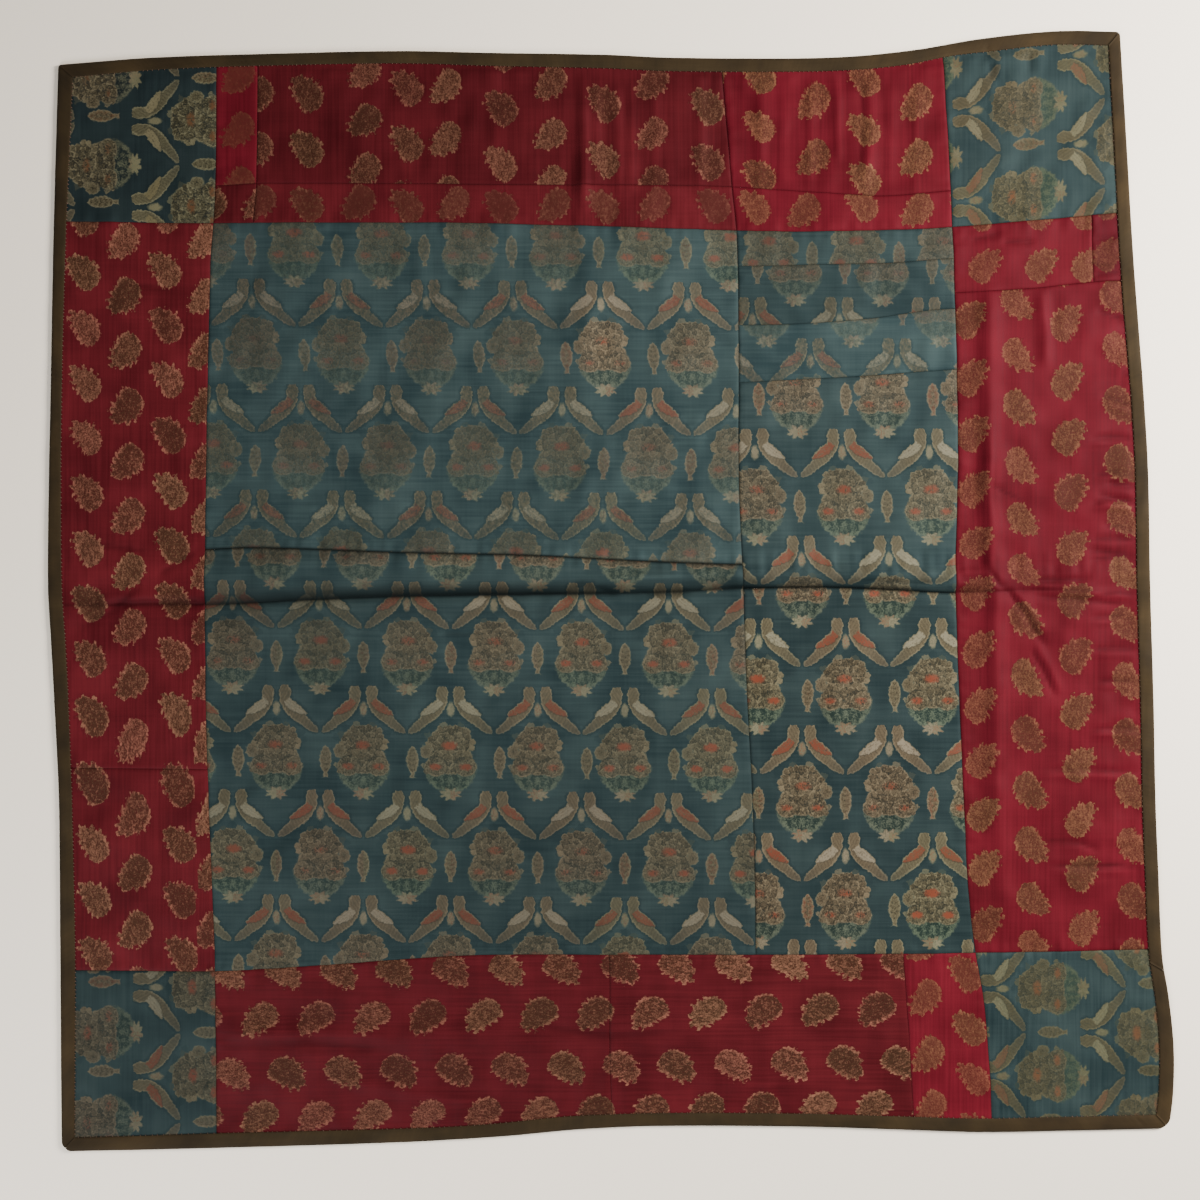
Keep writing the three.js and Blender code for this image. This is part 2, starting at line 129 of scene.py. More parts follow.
# Lines that run across the cloth: rows of [x, y]
bottom_edge = line_through([
    [-446, -457], [-349, -455], [-166, -449.5], [-80, -444.5], [-20, -439], [46, -436],
    [166, -436.5], [251, -439], [315, -441], [380, -440], [471, -438],
])
lower_ridge = line_through([[-446, -366], [-319, -363], [-35, -361], [150, -365], [475, -362]])
bottom_seam = line_through([
    [-446, -307], [-319, -307.5], [-240, -303.5], [-166, -298], [-90, -294],
    [10, -294], [166, -294], [312, -292.5], [462, -289.5],
])
cross_seam = line_through([[-450, -139], [-324, -140.5], [0, -142], [460, -142]])
fold_line = line_through([
    [-457, -5], [-329, -4], [-244, 0], [-166, 3], [-60, 4.5], [56, 6], [118, 9.5],
    [183, 10.5], [230, 9], [294, 6], [360, 8], [456, 6],
])
upper_roll_seam = line_through([
    [-457, 36], [-327, 42], [-286, 43.5], [-166, 39.5], [-60, 37], [40, 32], [118, 29.5],
    [200, 31], [294, 29], [456, 32],
])
third_strip_seam = line_through([
    [-456, 176], [-20, 178], [118, 180.5], [207, 185], [296, 191], [451, 196],
])
second_strip_seam = line_through([
    [-455, 226], [118, 228], [170, 229], [220, 233], [296, 241.5], [447, 232],
])
head_seam = line_through([
    [-454, 254], [-20, 253], [160, 253], [297, 255], [354, 258], [409, 263.5], [443, 265],
])
first_strip_seam = line_through([
    [-453, 281], [118, 277], [180, 278], [240, 279.5], [294, 283], [442, 290],
])
top_seam = line_through([
    [-453, 314], [-323, 312.5], [-166, 313], [-39, 311], [60, 308], [166, 305.5],
    [250, 307], [293, 309.5], [357, 314.5], [441, 322],
])
strip_seam = line_through([
    [-452, 344], [-320, 343.5], [-285, 345.5], [-133, 345], [58, 343.5], [109, 342.5],
    [177, 338], [234, 335], [288, 339], [440, 352],
])
top_edge = line_through([
    [-449, 443.5], [-371, 449.5], [-265, 453], [-166, 455], [-90, 453.5], [3, 452],
    [60, 449.5], [166, 449], [215, 451], [265, 456.5], [315, 465], [378, 471.5], [431, 471],
])

HEM_LINES = (left_edge, right_edge, bottom_edge, top_edge)

# Lines inside a piece that want a closer grid along them
FOLDS_IN_PIECES = {
    "field_left_lower": (None, fold_line),
    "left_border_upper": (None, fold_line),
    "right_border_main": (ridge_line, fold_line),
}

# The soft roll over the middle fold and the ridges along the borders, as the solids have
# them: heights from left to right, shares of the roll's height above and below the fold,
# and how much of each ridge there is along its line
roll_height = line_through([
    [-428, 0], [-395, 1.2], [-330, 4.5], [-270, 7.5], [-100, 8], [60, 7.5], [112, 5],
    [150, 3.5], [230, 5.5], [290, 4], [330, 2.5], [380, 2], [426, 0],
])
roll_above = line_through([[0, 0.06], [0.2, 0.72], [0.5, 1], [0.78, 0.7], [1, 0.2], [1.9, 0]])
roll_below = line_through([[0, 0.06], [7, 0.4], [16, 0.25], [34, 0]])
ridge_share = line_through([[-270, 0], [-220, 0.5], [-100, 1], [180, 1], [240, 0.8], [262, 0]])
lower_ridge_share = line_through([[-322, 0], [-270, 0.8], [-120, 1], [-35, 0.5], [0, 0]])
centre_share = line_through([[45, 0], [120, 0.5], [300, 0.8], [370, 1], [424, 0]])

# The long soft ridges: the line, whether it stands upright, reach, height and share of it
RIDGES = [
    (ridge_line, True, 15, 3.2, ridge_share), (lower_ridge, False, 22, 2.2, lower_ridge_share),
    (centre_line, True, 15, 1.8, centre_share),
]

# Smaller creases and puckers: height (a trough is below 0), half width, and the points
# along it. Each one runs out softly at both ends.
CREASES = [
    (2.5, 5.4, (366, 258.1), (368.5, 224.1), (369.3, 191.7)),
    (1.4, 6, (323.7, 153.5), (322, 94.6), (325.4, 66.4), (320.4, 27.4)),
    (-1.4, 2.3, (295.5, 18.3), (322, 18.7)),
    (-1.7, 2.4, (319.6, 27.4), (329.5, 13.3), (334.9, 10)),
    (-2, 2.3, (334.9, 10), (351.1, -9.1), (365.2, -32.4), (372.7, -40.7)),
    (1.4, 3.6, (338.6, 12.4), (355.2, -7.5), (369.3, -30.7)),
    (-1.6, 2.3, (356.6, -39), (367.7, -58.5), (378.1, -80.5)),
    (1.2, 3.6, (361, -37.4), (372.7, -57.3), (382.6, -78.8)),
    (-1.7, 2.3, (356.6, 15.8), (396.7, 16.6), (408.4, 18.3)),
    (1, 3, (356.6, 11.6), (396.7, 12.4), (408.4, 14.1)),
    (-1.9, 2.3, (404.8, 32.4), (429.9, 36.5), (443.2, 34)),
    (-1.7, 2.4, (354, 3.3), (397.2, 0), (444, -4.1)),
    (1.4, 3.6, (365.2, 8.3), (396.7, 6.6), (444, 4.1)),
    (-1.6, 2.4, (361.9, -141.1), (398.4, -140.3), (448.2, -143.6)),
    (1.2, 3.1, (365.2, -145.2), (398.4, -144.4), (448.2, -147.7)),
    (-1.7, 2.4, (365.2, -199.2), (398.4, -200.9), (415, -208.3)),
    (-1.4, 2.4, (369.3, -219.9), (406.7, -220.8), (439.9, -217.5)),
    (-2.2, 2.3, (307.1, 297.1), (319.6, 301.3), (332, 303.8)),
    (-1.9, 2.3, (332, 297.1), (361, 296.3)),
    (-1.7, 2.3, (410.8, 239.9), (434.9, 232.4)),
    (-1.3, 2.3, (406.7, 298.8), (431.6, 300.5)),
    (-1.3, 2.3, (402.5, 280.5), (431.6, 275.6)),
    (-1.3, 2.3, (408.4, 269.8), (433.3, 272.2)),
    (-2.9, 2.6, (-413.3, -4.1), (-373.5, -2.5), (-328.7, -3.3)),
    (2.3, 6, (-413.3, 2.5), (-373.5, 3.3), (-328.7, 3.3)),
    (-1.3, 3.6, (-432.4, -24.9), (-405, -10), (-379.3, 13.3)),
    (-1.3, 3, (-366.9, 19.9), (-348.6, 31.5), (-332.8, 41.5)),
    (1.8, 4.8, (-14.1, 438.2), (-13.3, 373.5), (-14.1, 319.6)),
    (1.4, 3.6, (-2.5, 436.6), (-2.5, 340.3)),
    (1.4, 4.2, (14.9, 436.6), (15.8, 332)),
    (1.2, 3.6, (25.7, 436.6), (25.7, 335.3)),
    (1.7, 3.8, (195.9, 438.2), (197.5, 361)),
    (-2.2, 3.6, (323.7, 446.5), (325.4, 431.6)),
    (-1.4, 3.6, (356.1, 454.8), (357.7, 435.8)),
    (1.7, 4.2, (-19.1, 17.4), (0, 14.1), (19.9, 17.4), (70.5, 20.8)),
    (-1.9, 3.6, (-24.1, 11.6), (-14.1, 13.3), (-4.1, 11.6)),
    (-1.4, 2.3, (-4.1, 12.4), (5, 7.5), (14.1, 5.4)),
    (-1.2, 2.3, (33.2, 4.1), (53.9, 5), (74.7, 7.5)),
    (-1, 2.3, (-132.8, -28.2), (-102.1, -28.2)),
    (-1.4, 2.3, (201.7, 14.9), (232.4, 16.6), (262.3, 14.1), (293.8, 18.3)),
    (-1.5, 2.2, (432, 190), (445, 182)),
    (-1.6, 2.2, (414, 170), (442, 161)),
    (1.2, 3, (416, 164), (442, 156)),
    (-1.6, 2.2, (419, 98), (445, 93)),
    (-1.8, 2.3, (410, 88), (445, 80)),
    (1.3, 3, (412, 82), (444, 74)),
    (-1.6, 2.2, (416, 63), (445, 58)),
    (-1.8, 2.3, (403, 42), (445, 37)),
    (-1.2, 2.3, (324, 95), (352, 82)),
    (1.2, 6, (-316, -360), (-240, -357), (-166, -362)),
    (-1.2, 4.5, (-316, -369), (-240, -367), (-170, -372)),
    (1.1, 5, (-228, -397), (-150, -409), (-83, -420)),
    (-1, 4, (-60, -352), (10, -362), (70, -358)),
    (1, 5, (60, -395), (130, -402), (190, -398)),
    (-1.2, 3, (-395, 262), (-352, 256)),
    (-1, 3, (-430, 48), (-375, 40)),
    (-0.7, 3, (216, 440), (219, 392), (214, 350)),
    (1.1, 4, (224, 440), (227, 392), (222, 350)),
]

# Short creases by the right rim, each a trough over a low ridge: level, left end, right end
# and depth
RIM_CREASES = [
    (133.6, 405, 443.2, 1.3), (103.8, 408.4, 444, 1), (80.5, 405, 443.2, 1.3),
    (49.8, 406.7, 444.9, 1.2), (4.1, 411.7, 444.9, 0.7), (-14.9, 405, 444.9, 1.3),
    (-41.5, 406.7, 444.9, 1.3), (-68.1, 410, 445.7, 1), (-107.9, 405, 446.5, 1.3),
    (-221.6, 406.7, 447.4, 1.2),
]
for level, first, last, depth in RIM_CREASES:
    middle = ((first + last) / 2, level + 1.7)
    CREASES.append((-depth, 2.3, (first, level), middle, (last, level)))
    CREASES.append((round(0.7 * depth, 1), 2.6, (first + 2.5, level - 3.3), (last, level - 3.3)))

# Low upright ridges across the top border: height and place
TOP_RIDGES = [
    (0.9, 45.6), (1.2, 83), (0.7, 107.1), (1, 132.8), (0.7, 151.9), (1.2, 174.3), (1.3, 220.8),
    (0.9, 240.7), (1, 261.4),
]
for rise, at in TOP_RIDGES:
    CREASES.append((rise, 4.1, (at, 434.9), (at + 0.8, 390.1), (at - 0.8, 332)))

# Slow ripples of the whole cloth: height, length of the wave, number of waves, seed
RIPPLES = [(0.55, 150, 9, 3), (0.46, 62, 14, 5), (0.2, 24, 18, 8)]

# Puckers across the seams: the seam, whether it stands upright, height and wave length
PUCKERS = [
    (top_seam, False, 0.3, 11), (bottom_seam, False, 0.42, 9.5), (upper_roll_seam, False, 0.4, 10),
    (left_seam, True, 0.26, 12), (right_seam, True, 0.3, 10), (field_seam, True, 0.3, 11),
    (right_edge, True, 0.6, 17), (top_edge, False, 0.4, 19), (bottom_edge, False, 0.4, 17),
]


def distance_to(points, x, y):
    """Distance to a run of points, and the share of its length at the nearest place."""
    points = np.array(points, float)
    lengths = np.hypot(*np.diff(points, axis=0).T)
    starts = np.concatenate([[0], np.cumsum(lengths)])
    nearest = np.full(np.shape(x), 1e9)
    share = np.zeros(np.shape(x))
    for (x0, y0), (x1, y1), length, start in zip(points[:-1], points[1:], lengths, starts):
        along = ((x - x0) * (x1 - x0) + (y - y0) * (y1 - y0)) / length ** 2
        along = np.clip(along, 0, 1)
        away = np.hypot(x - x0 - along * (x1 - x0), y - y0 - along * (y1 - y0))
        closer = away < nearest
        nearest = np.where(closer, away, nearest)
        share = np.where(closer, (start + along * length) / starts[-1], share)
    return nearest, share


def rippled(x, y):
    total = np.zeros(np.shape(x))
    for height, length, count, seed in RIPPLES:
        draw = np.random.default_rng(seed)
        for turn, stretch, phase in draw.random((count, 3)):
            turn *= math.tau
            wave = math.tau / (length * (0.7 + 0.6 * stretch))
            along = x * math.cos(turn) + y * math.sin(turn)
            total += height * math.sqrt(2 / count) * np.sin(along * wave + phase * math.tau)
    return total


def middle_roll(x, y):
    height = np.maximum(roll_height(x), 0)
    fold = fold_line(x)
    share = np.clip((y - fold) / (upper_roll_seam(x) - fold), 0, 1.9)
    above = roll_above(share)
    below = roll_below(np.clip(fold - y, 0, 34))
    return height * np.where(y < fold, below, above)


# How strong the painted shade in the tuck under the roll is, from the left to the right of the cloth
painted_tuck_shade = line_through([
    [-428, 0.25], [-345, 0.35], [-325, 0.66], [-270, 0.84], [-60, 0.88], [-5, 0.72], [60, 0.5],
    [112, 0.6], [145, 0.35], [230, 0.3], [426, 0.1],
])


def fold_shade(x, y):
    """Painted shade where the roll tucks under itself, with a painted dark line along the tuck, and a
    painted highlight on the roll's crest: how much darker the cloth is made.
    """
    away = y - fold_line(x)
    # painted shade reaching up the roll's underside, a painted highlight on its crest and a little
    # painted shade below the fold
    reach = np.exp(-np.where(away > 0, (away / 9) ** 4 * 0.6 + away / 22, -away / 1.3))
    light = 0.3 * np.exp(-(((away - 27) / 8) ** 2)) - 0.15 * np.exp(-(((away + 14) / 5) ** 2))
    share = painted_tuck_shade(x)
    # a painted dark line right along the tuck
    painted_tuck_line = 1 - 0.8 * share * np.exp(-((away - 0.6) / 1.5) ** 2)
    return 1 - (1 - share * (reach - light)) * painted_tuck_line


def crease_parts(x, y):
    """For each crease: its height, the points near it and how much of it is on each."""
    for rise, half_width, *points in CREASES:
        box = np.array(points)
        low = box.min(axis=0) - 3 * half_width
        high = box.max(axis=0) + 3 * half_width
        near = (x > low[0]) & (x < high[0]) & (y > low[1]) & (y < high[1])
        away, share = distance_to(points, x[near], y[near])
        run_out = np.minimum(np.minimum(share, 1 - share) * 4, 1)
        run_out = run_out * (2 - run_out)
        yield rise, near, run_out * np.exp(-((away / half_width) ** 2))


def soft_ridge(distance, reach, height, share):
    return height * np.clip(share, 0, 1) * np.exp(-((distance / (0.55 * reach)) ** 2))


def inside_edge(x, y):
    """How far a point lies inside the cloth's outer edge."""
    sides = [x - left_edge(y), right_edge(y) - x, y - bottom_edge(x), top_edge(x) - y]
    return np.minimum.reduce(sides)


def eased(value, low, high):
    share = np.clip((value - low) / (high - low), 0, 1)
    return share * share * (3 - 2 * share)


def underside(x, y):
    """Height of the cloth's underside over the table."""
    height = LOFT + rippled(x, y) + middle_roll(x, y)
    for line, stands, reach, rise, share in RIDGES:
        away, along = (x - line(y), y) if stands else (y - line(x), x)
        height += soft_ridge(away, reach, rise, share(along))
    for line, stands, rise, apart in PUCKERS:
        away, along = (x - line(y), y) if stands else (y - line(x), x)
        beat = np.sin(along / apart * 6.3) + 0.8 * np.sin(along / apart * 3.9 + 1.7)
        reach = 9 if apart < 15 else 26
        near = np.exp(-((away / reach) ** 2)) * (1 - 0.6 * np.exp(-((away / 2) ** 2)))
        height += rise * beat * near
    for rise, near, part in crease_parts(x, y):
        height[near] += rise * part
    height = 0.5 * (height + np.sqrt(height ** 2 + TABLE_EASE))
    free = eased(inside_edge(x, y), *UNDER_TAPE)
    return HEM_HEIGHT + (height - HEM_HEIGHT) * free


# How the cloth's outer corners are eased: side lines, half width of the easing, roundness
CORNERS = [
    (left_edge, top_edge, 2.2, 1.0),
    (right_edge, top_edge, 3.5, 1.0),
    (right_edge, bottom_edge, 9.0, 1.0),
    (left_edge, bottom_edge, 7.0, 1.6),
]


def corner_point(upright, level):
    x, y = 0.0, 0.0
    for _ in range(12):
        x = float(upright(y))
        y = float(level(x))
    return x, y


def ease_corners(x, y):
    """Draws the square corners in to the rounded and blunt ones of the real cloth."""
    for upright, level, reach, bluntness in CORNERS:
        inward_x = 1 if upright is left_edge else -1
        inward_y = 1 if level is bottom_edge else -1
        across = (x - upright(y)) * inward_x
        up = (y - level(x)) * inward_y
        near = (across < reach) & (up < reach)
        dx = reach - across[near]
        dy = reach - up[near]
        longest = np.maximum(dx, dy)
        blunt = (dx ** 2 + dy ** 2) ** 0.5 * (1 + (bluntness - 1) * np.minimum(dx, dy) / longest * 0.4)
        pull = 1 - longest / blunt
        x[near] += dx * pull * inward_x
        y[near] += dy * pull * inward_y
    return x, y


def in_metres(x, y, z):
    """Points of the drawing as points of the model."""
    return np.stack([
        (np.ravel(x) - DRAWING_MIDDLE[0]) * MM,
        (np.ravel(y) - DRAWING_MIDDLE[1]) * MM,
        np.ravel(z) * MM,
    ], axis=1)


def put_in_scene(name, data):
    thing = bpy.data.objects.new(name, data)
    bpy.context.scene.collection.objects.link(thing)
    return thing


def make_piece(name, points, faces, maps, finish):
    """A closed sheet with its maps, one value for each corner of each face, and its finish: a material
    and a slot name, which is not used."""
    material, slot = finish
    mesh = bpy.data.meshes.new(name)
    mesh.from_pydata(points.tolist(), [], faces)
    piece = put_in_scene(name, mesh)
    for label, corners in maps.items():
        layer = mesh.uv_layers.new(name=label)
        layer.data.foreach_set("uv", corners.astype(np.float32).ravel())
    mesh.materials.append(material)
    mesh.polygons.foreach_set("use_smooth", np.ones(len(faces), bool))
    shell = bmesh.new()
    shell.from_mesh(mesh)
    inside_out = shell.calc_volume(signed=True) < 0
    shell.free()
    if inside_out:
        mesh.flip_normals()
    mesh.update()
    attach(piece, "root")
    return piece


def add_reading(piece, name, values):
    """A number at each point that the finish reads by its name."""
    reading = piece.data.attributes.new(name, "FLOAT", "POINT")
    reading.data.foreach_set("value", np.ravel(values).astype(np.float32))


NEAR_SEAM = (0.0, 0.35, 0.9, 1.8, 3.2, 5.4, 7.2, 8.6)
NEAR_FOLD = (-9.0, -6.6, -4.6, -3.0, -1.7, -0.7, 0.0, 0.7, 1.7, 3.0, 4.6, 6.6, 9.0)


def grid_lines(first, last, fold, first_back, last_back, middle):
    """Lines from one guide to the other, close together by the seams and along a fold."""
    lines = [lambda at, d=d: first(at) + first_back + d for d in NEAR_SEAM]
    ends = [lambda at: first(at) + first_back + NEAR_SEAM[-1]]
    if fold is not None:
        ends.append(lambda at: fold(at) + NEAR_FOLD[0])
        ends.append(lambda at: fold(at) + NEAR_FOLD[-1])
    ends.append(lambda at: last(at) - last_back - NEAR_SEAM[-1])
    for place in range(0, len(ends), 2):
        start, end = ends[place], ends[place + 1]
        count = max(int(round(float(end(middle) - start(middle)) / STEP)), 1)
        for share in np.arange(1, count) / count:
            lines.append(lambda at, a=start, b=end, s=share: a(at) * (1 - s) + b(at) * s)
        if fold is not None and place == 0:
            lines += [lambda at, d=d: fold(at) + d for d in NEAR_FOLD]
    lines += [lambda at, d=d: last(at) - last_back - d for d in reversed(NEAR_SEAM)]
    return lines


def crossings(uprights, levels):
    """The points where the uprights and the levels cross."""
    x = np.zeros((len(uprights), len(levels)))
    y = np.tile([[float(level(0))] for level in levels], len(uprights)).T.copy()
    for _ in range(7):
        for place, upright in enumerate(uprights):
            x[place] = upright(y[place])
        for place, level in enumerate(levels):
            y[:, place] = level(x[:, place])
    return x, y


def sheet_faces(columns, rows):
    """Quads of the top, of the underside and of the four thin sides."""
    place = np.arange(columns * rows).reshape(columns, rows)
    under = place + columns * rows

    def quads(a, b, c, d):
        return np.stack([np.ravel(a), np.ravel(b), np.ravel(c), np.ravel(d)], axis=1)

    top = quads(place[:-1, :-1], place[1:, :-1], place[1:, 1:], place[:-1, 1:])
    low = quads(under[:-1, :-1], under[:-1, 1:], under[1:, 1:], under[1:, :-1])
    sides = [
        quads(under[:-1, 0], under[1:, 0], place[1:, 0], place[:-1, 0]),
        quads(under[1:, -1], under[:-1, -1], place[:-1, -1], place[1:, -1]),
        quads(under[0, 1:], under[0, :-1], place[0, :-1], place[0, 1:]),
        quads(under[-1, :-1], under[-1, 1:], place[-1, 1:], place[-1, :-1]),
    ]
    return top, low, np.concatenate(sides)


def in_bands(along, across, low, high, bands):
    """Lays faces in bands, one over the other, between two heights of the piece's map."""
    band = np.minimum((along.mean(axis=1) * bands).astype(int), bands - 1)[:, None]
    u = 0.005 + 0.99 * np.clip(along * bands - band, -0.004, 1.004)
    v = low + (high - low) / bands * (band + 0.02 + 0.96 * across)
    return np.stack([u, v], axis=2)


# Heights of the parts of a panel's map
MAP_PARTS = {"top": (0.27, 0.995), "under": (0.03, 0.255), "side": (0.004, 0.022)}


def bake_map(faces, share_x, share_y, kind, wide, tall):
    """Places each face in the piece's own map, in as many bands as keep its grain square."""
    low, high = MAP_PARTS[kind]
    along, across = (share_x, share_y) if wide >= tall else (share_y, share_x)
    aspect = max(wide, tall) / min(wide, tall)
    bands = max(int(round(math.sqrt(aspect * (high - low)))), 1) if kind != "side" else 1
    return in_bands(along[faces], across[faces], low, high, bands)


def seam_roll(distance, is_hem):
    """Share of its thickness that the cloth has at a distance from its cut edge."""
    if is_hem:
        return np.ones(np.shape(distance))
    return 1 - SEAM_DIP * (1 - np.clip(distance / SEAM_REACH, 0, 1)) ** 2


# Painted shade along the deeper seams: how much darker each one is made
DEEP_SEAMS_PAINTED_SHADE = {upper_roll_seam: 0.75, fold_line: 0.6, field_seam: 0.35, cross_seam: 0.15}


def make_panel(name, finish, guides, tone, worn, figures):
    """One cut piece of brocade between its left, right, lower and upper line. tone makes it lighter or
    darker, and worn fades its figures: each is a number or a faded(). The piece's tone also carries
    painted shade in the tuck under the middle roll, in creases and along seams, and painted highlights
    on the roll and on ridges."""
    left, right, lower, upper = guides
    repeats_at, turned = figures
    fold_up, fold_level = FOLDS_IN_PIECES.get(name, (None, None))
    back = [HEM_SETBACK if line in HEM_LINES else SEAM_GAP / 2 for line in guides]
    mid_x = float(left(0) + right(0)) / 2
    mid_y = float(lower(mid_x) + upper(mid_x)) / 2
    uprights = grid_lines(left, right, fold_up, back[0], back[1], mid_y)
    levels = grid_lines(lower, upper, fold_level, back[2], back[3], mid_x)
    x, y = crossings(uprights, levels)
    columns, rows = x.shape
    low = underside(x, y)
    edges = [x - left(y), right(y) - x, y - lower(x), upper(x) - y]
    hems = [line in HEM_LINES for line in guides]
    full = np.ones(x.shape)
    band = np.zeros(x.shape)
    for away, at_hem in zip(edges, hems):
        full = np.minimum(full, seam_roll(away - SEAM_GAP / 2, at_hem))
        if not at_hem:
            band = np.maximum(band, 1 - eased(away, ALLOWANCE_WIDTH - 1.6, ALLOWANCE_WIDTH))
    band *= eased(inside_edge(x, y), *UNDER_TAPE)
    turned_under = np.maximum(low - ALLOWANCE * (1 - ALLOWANCE_RAISED) * band, 0.0)
    top = low + (CLOTH + ALLOWANCE * ALLOWANCE_RAISED * band) * full
    plan_x, plan_y = ease_corners(x.copy(), y.copy())
    points = np.concatenate([in_metres(plan_x, plan_y, top), in_metres(plan_x, plan_y, turned_under)])
    faces_top, faces_low, faces_side = sheet_faces(columns, rows)
    faces = np.concatenate([faces_top, faces_low, faces_side])
    at_x = np.tile(np.ravel(x), 2)[faces]
    at_y = np.tile(np.ravel(y), 2)[faces]
    repeats = np.stack(repeats_at(at_x, at_y), axis=2)
    threads = np.stack([at_y, at_x] if turned else [at_x, -at_y], axis=2) * MM
    wide = np.ptp(x)
    tall = np.ptp(y)
    share_x = (x - x.min(axis=0)) / np.maximum(np.ptp(x, axis=0), 1)
    share_y = ((y.T - y.min(axis=1)) / np.maximum(np.ptp(y, axis=1), 1)).T
    shares = [np.tile(np.ravel(share), 2) for share in (share_x, share_y)]
    kinds = {"top": faces_top, "under": faces_low, "side": faces_side}
    bake = np.concatenate([bake_map(kinds[kind], *shares, kind, wide, tall) for kind in kinds])
    maps = {"Cloth": threads, "Figures": repeats, "OFBake": bake}
    piece = make_piece(name + "_cloth", points, faces.tolist(), maps, finish)
    count = columns * rows
    add_reading(piece, "reverse", np.repeat([0.0, 1.0], count))
    # Painted light and shade carried in the tone: shade in the roll's tuck, in creases and along seams,
    # highlights on the roll and on ridges
    painted_light_and_shade = 1 - fold_shade(x, y)
    # Painted shade in the creases' troughs and a painted highlight on their ridges
    for rise, near, part in crease_parts(x, y):
        painted_light_and_shade[near] *= 1 - (TROUGH_SHADE if rise < 0 else -RIDGE_LIGHT) * part ** 2
    # Painted shade along the seams
    for away, line, at_hem in zip(edges, guides, hems):
        if not at_hem:
            depth = DEEP_SEAMS_PAINTED_SHADE.get(line, MOST_SEAMS_PAINTED_SHADE)
            painted_light_and_shade *= 1 - depth * np.exp(-((np.maximum(away, 0) / (0.7 + depth)) ** 2))
    # The tone reading: the piece's own tone times the painted shade and highlights
    for reading, value, change in (("tone", tone, painted_light_and_shade), ("worn", worn, 1)):
        placed = value(x, y) if callable(value) else np.full(x.shape, float(value))
        add_reading(piece, reading, np.tile(np.ravel(placed * change), 2))
    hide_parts(name)
    area = float(np.sum(piece_area(x, y))) * MM * MM
    return piece


def piece_area(x, y):
    """Flat area of each cell of a grid of points."""
    ax, ay = x[1:, 1:] - x[:-1, :-1], y[1:, 1:] - y[:-1, :-1]
    bx, by = x[:-1, 1:] - x[1:, :-1], y[:-1, 1:] - y[1:, :-1]
    return 0.5 * np.abs(ax * by - ay * bx)


# The binding's section as it wraps the hem, for a width of TAPE_NOMINAL: rows of
# (distance in from the fold, height)
TAPE_OUTSIDE = [
    (11.2, 0.0), (7.0, 0.0), (3.5, 0.0), (1.9, 0.03), (0.95, 0.25), (0.3, 0.8), (0.0, 1.5),
    (0.22, 2.2), (0.85, 2.78), (1.9, 3.1), (3.4, 3.25), (5.4, 3.28), (7.6, 3.17), (9.4, 3.0),
    (10.8, 2.83), (11.6, 2.62), (12.0, 2.3),
]
TAPE_INSIDE = [
    (11.9, 2.05), (11.0, 1.98), (7.5, 2.3), (4.0, 2.42), (2.2, 2.35), (1.2, 2.05), (0.75, 1.5),
    (1.2, 0.95), (2.2, 0.72), (7.0, 0.7), (11.2, 0.7),
]
TAPE_SECTION = TAPE_OUTSIDE + TAPE_INSIDE
TAPE_NOMINAL = 12.0
TAPE_UNDER = 11.2  # width of the binding's underside
TAPE_TONE = 0.16  # how uneven the tape's colour is
MITRE_GAP = 0.1
SLANT_JOIN = (-307.5, -300.5)  # where the right side's tapes meet, on the fold and on the rim

# Width of the binding's upper side along each side of the cloth: rows of [along, width]
TAPE_WIDTHS = {
    "left": line_through([
        [-440, 11], [-293, 12.5], [-166, 11], [-66, 12], [8, 11.6], [166, 9.4], [300, 10.4],
        [436, 12.4],
    ]),
    "top": line_through([
        [-436, 11.4], [-320, 10], [-166, 10.4], [-17, 11.4], [166, 11.2], [251, 11.5],
        [285, 10.2], [323, 11.6], [373, 11.4], [422, 11.8],
    ]),
    "right": line_through([
        [-420, 12.4], [-357, 12], [-301, 11.2], [-251, 11.4], [-110, 11.2], [17, 11.2],
        [166, 11], [244, 11.6], [350, 11], [435, 10.6],
    ]),
    "bottom": line_through([
        [-432, 11.4], [-320, 12.4], [-166, 11.6], [-113, 11], [-39, 11.8], [25, 11], [166, 11],
        [262, 11.2], [357, 11.6], [456, 11.8],
    ]),
}
TAPE_EDGES = {"left": left_edge, "right": right_edge, "bottom": bottom_edge, "top": top_edge}
TAPE_INWARD = {"left": 1, "right": -1, "bottom": 1, "top": -1}

# Creases of the binding: height, half width, and the points along it
TAPE_CREASES = [
    (0.35, 1.6, (247.3, -448.2), (254, -436.6)), (0.35, 1.6, (254, -448.2), (260.6, -436.6)),
    (0.35, 1.6, (262.3, -448.2), (268.9, -436.6)), (0.35, 1.6, (270.6, -448.2), (277.2, -436.6)),
    (0.35, 1.6, (311.2, -449), (305.4, -437.4)), (0.35, 1.6, (320.4, -449), (314.6, -437.4)),
    (0.35, 1.6, (329.5, -449), (323.7, -437.4)),
    (-0.8, 1.2, (442.4, -427.4), (449.9, -434.9)),
    (-0.7, 1.4, (319.6, 459.8), (322.9, 449.9)),
    (0.3, 1.6, (83, 450.7), (88, 459.8)),
    (0.3, 1.6, (-141.1, 448.2), (-134.5, 456.5)),
    (0.3, 1.6, (-448.2, 149.4), (-454.8, 142.8)),
    (0.3, 1.6, (-450.7, -83), (-459.8, -89.6)),
    (0.3, 1.6, (453.2, 107.9), (461.5, 101.3)),
    (-0.5, 1, (455.7, -300.5), (466.5, -307.6)),
]


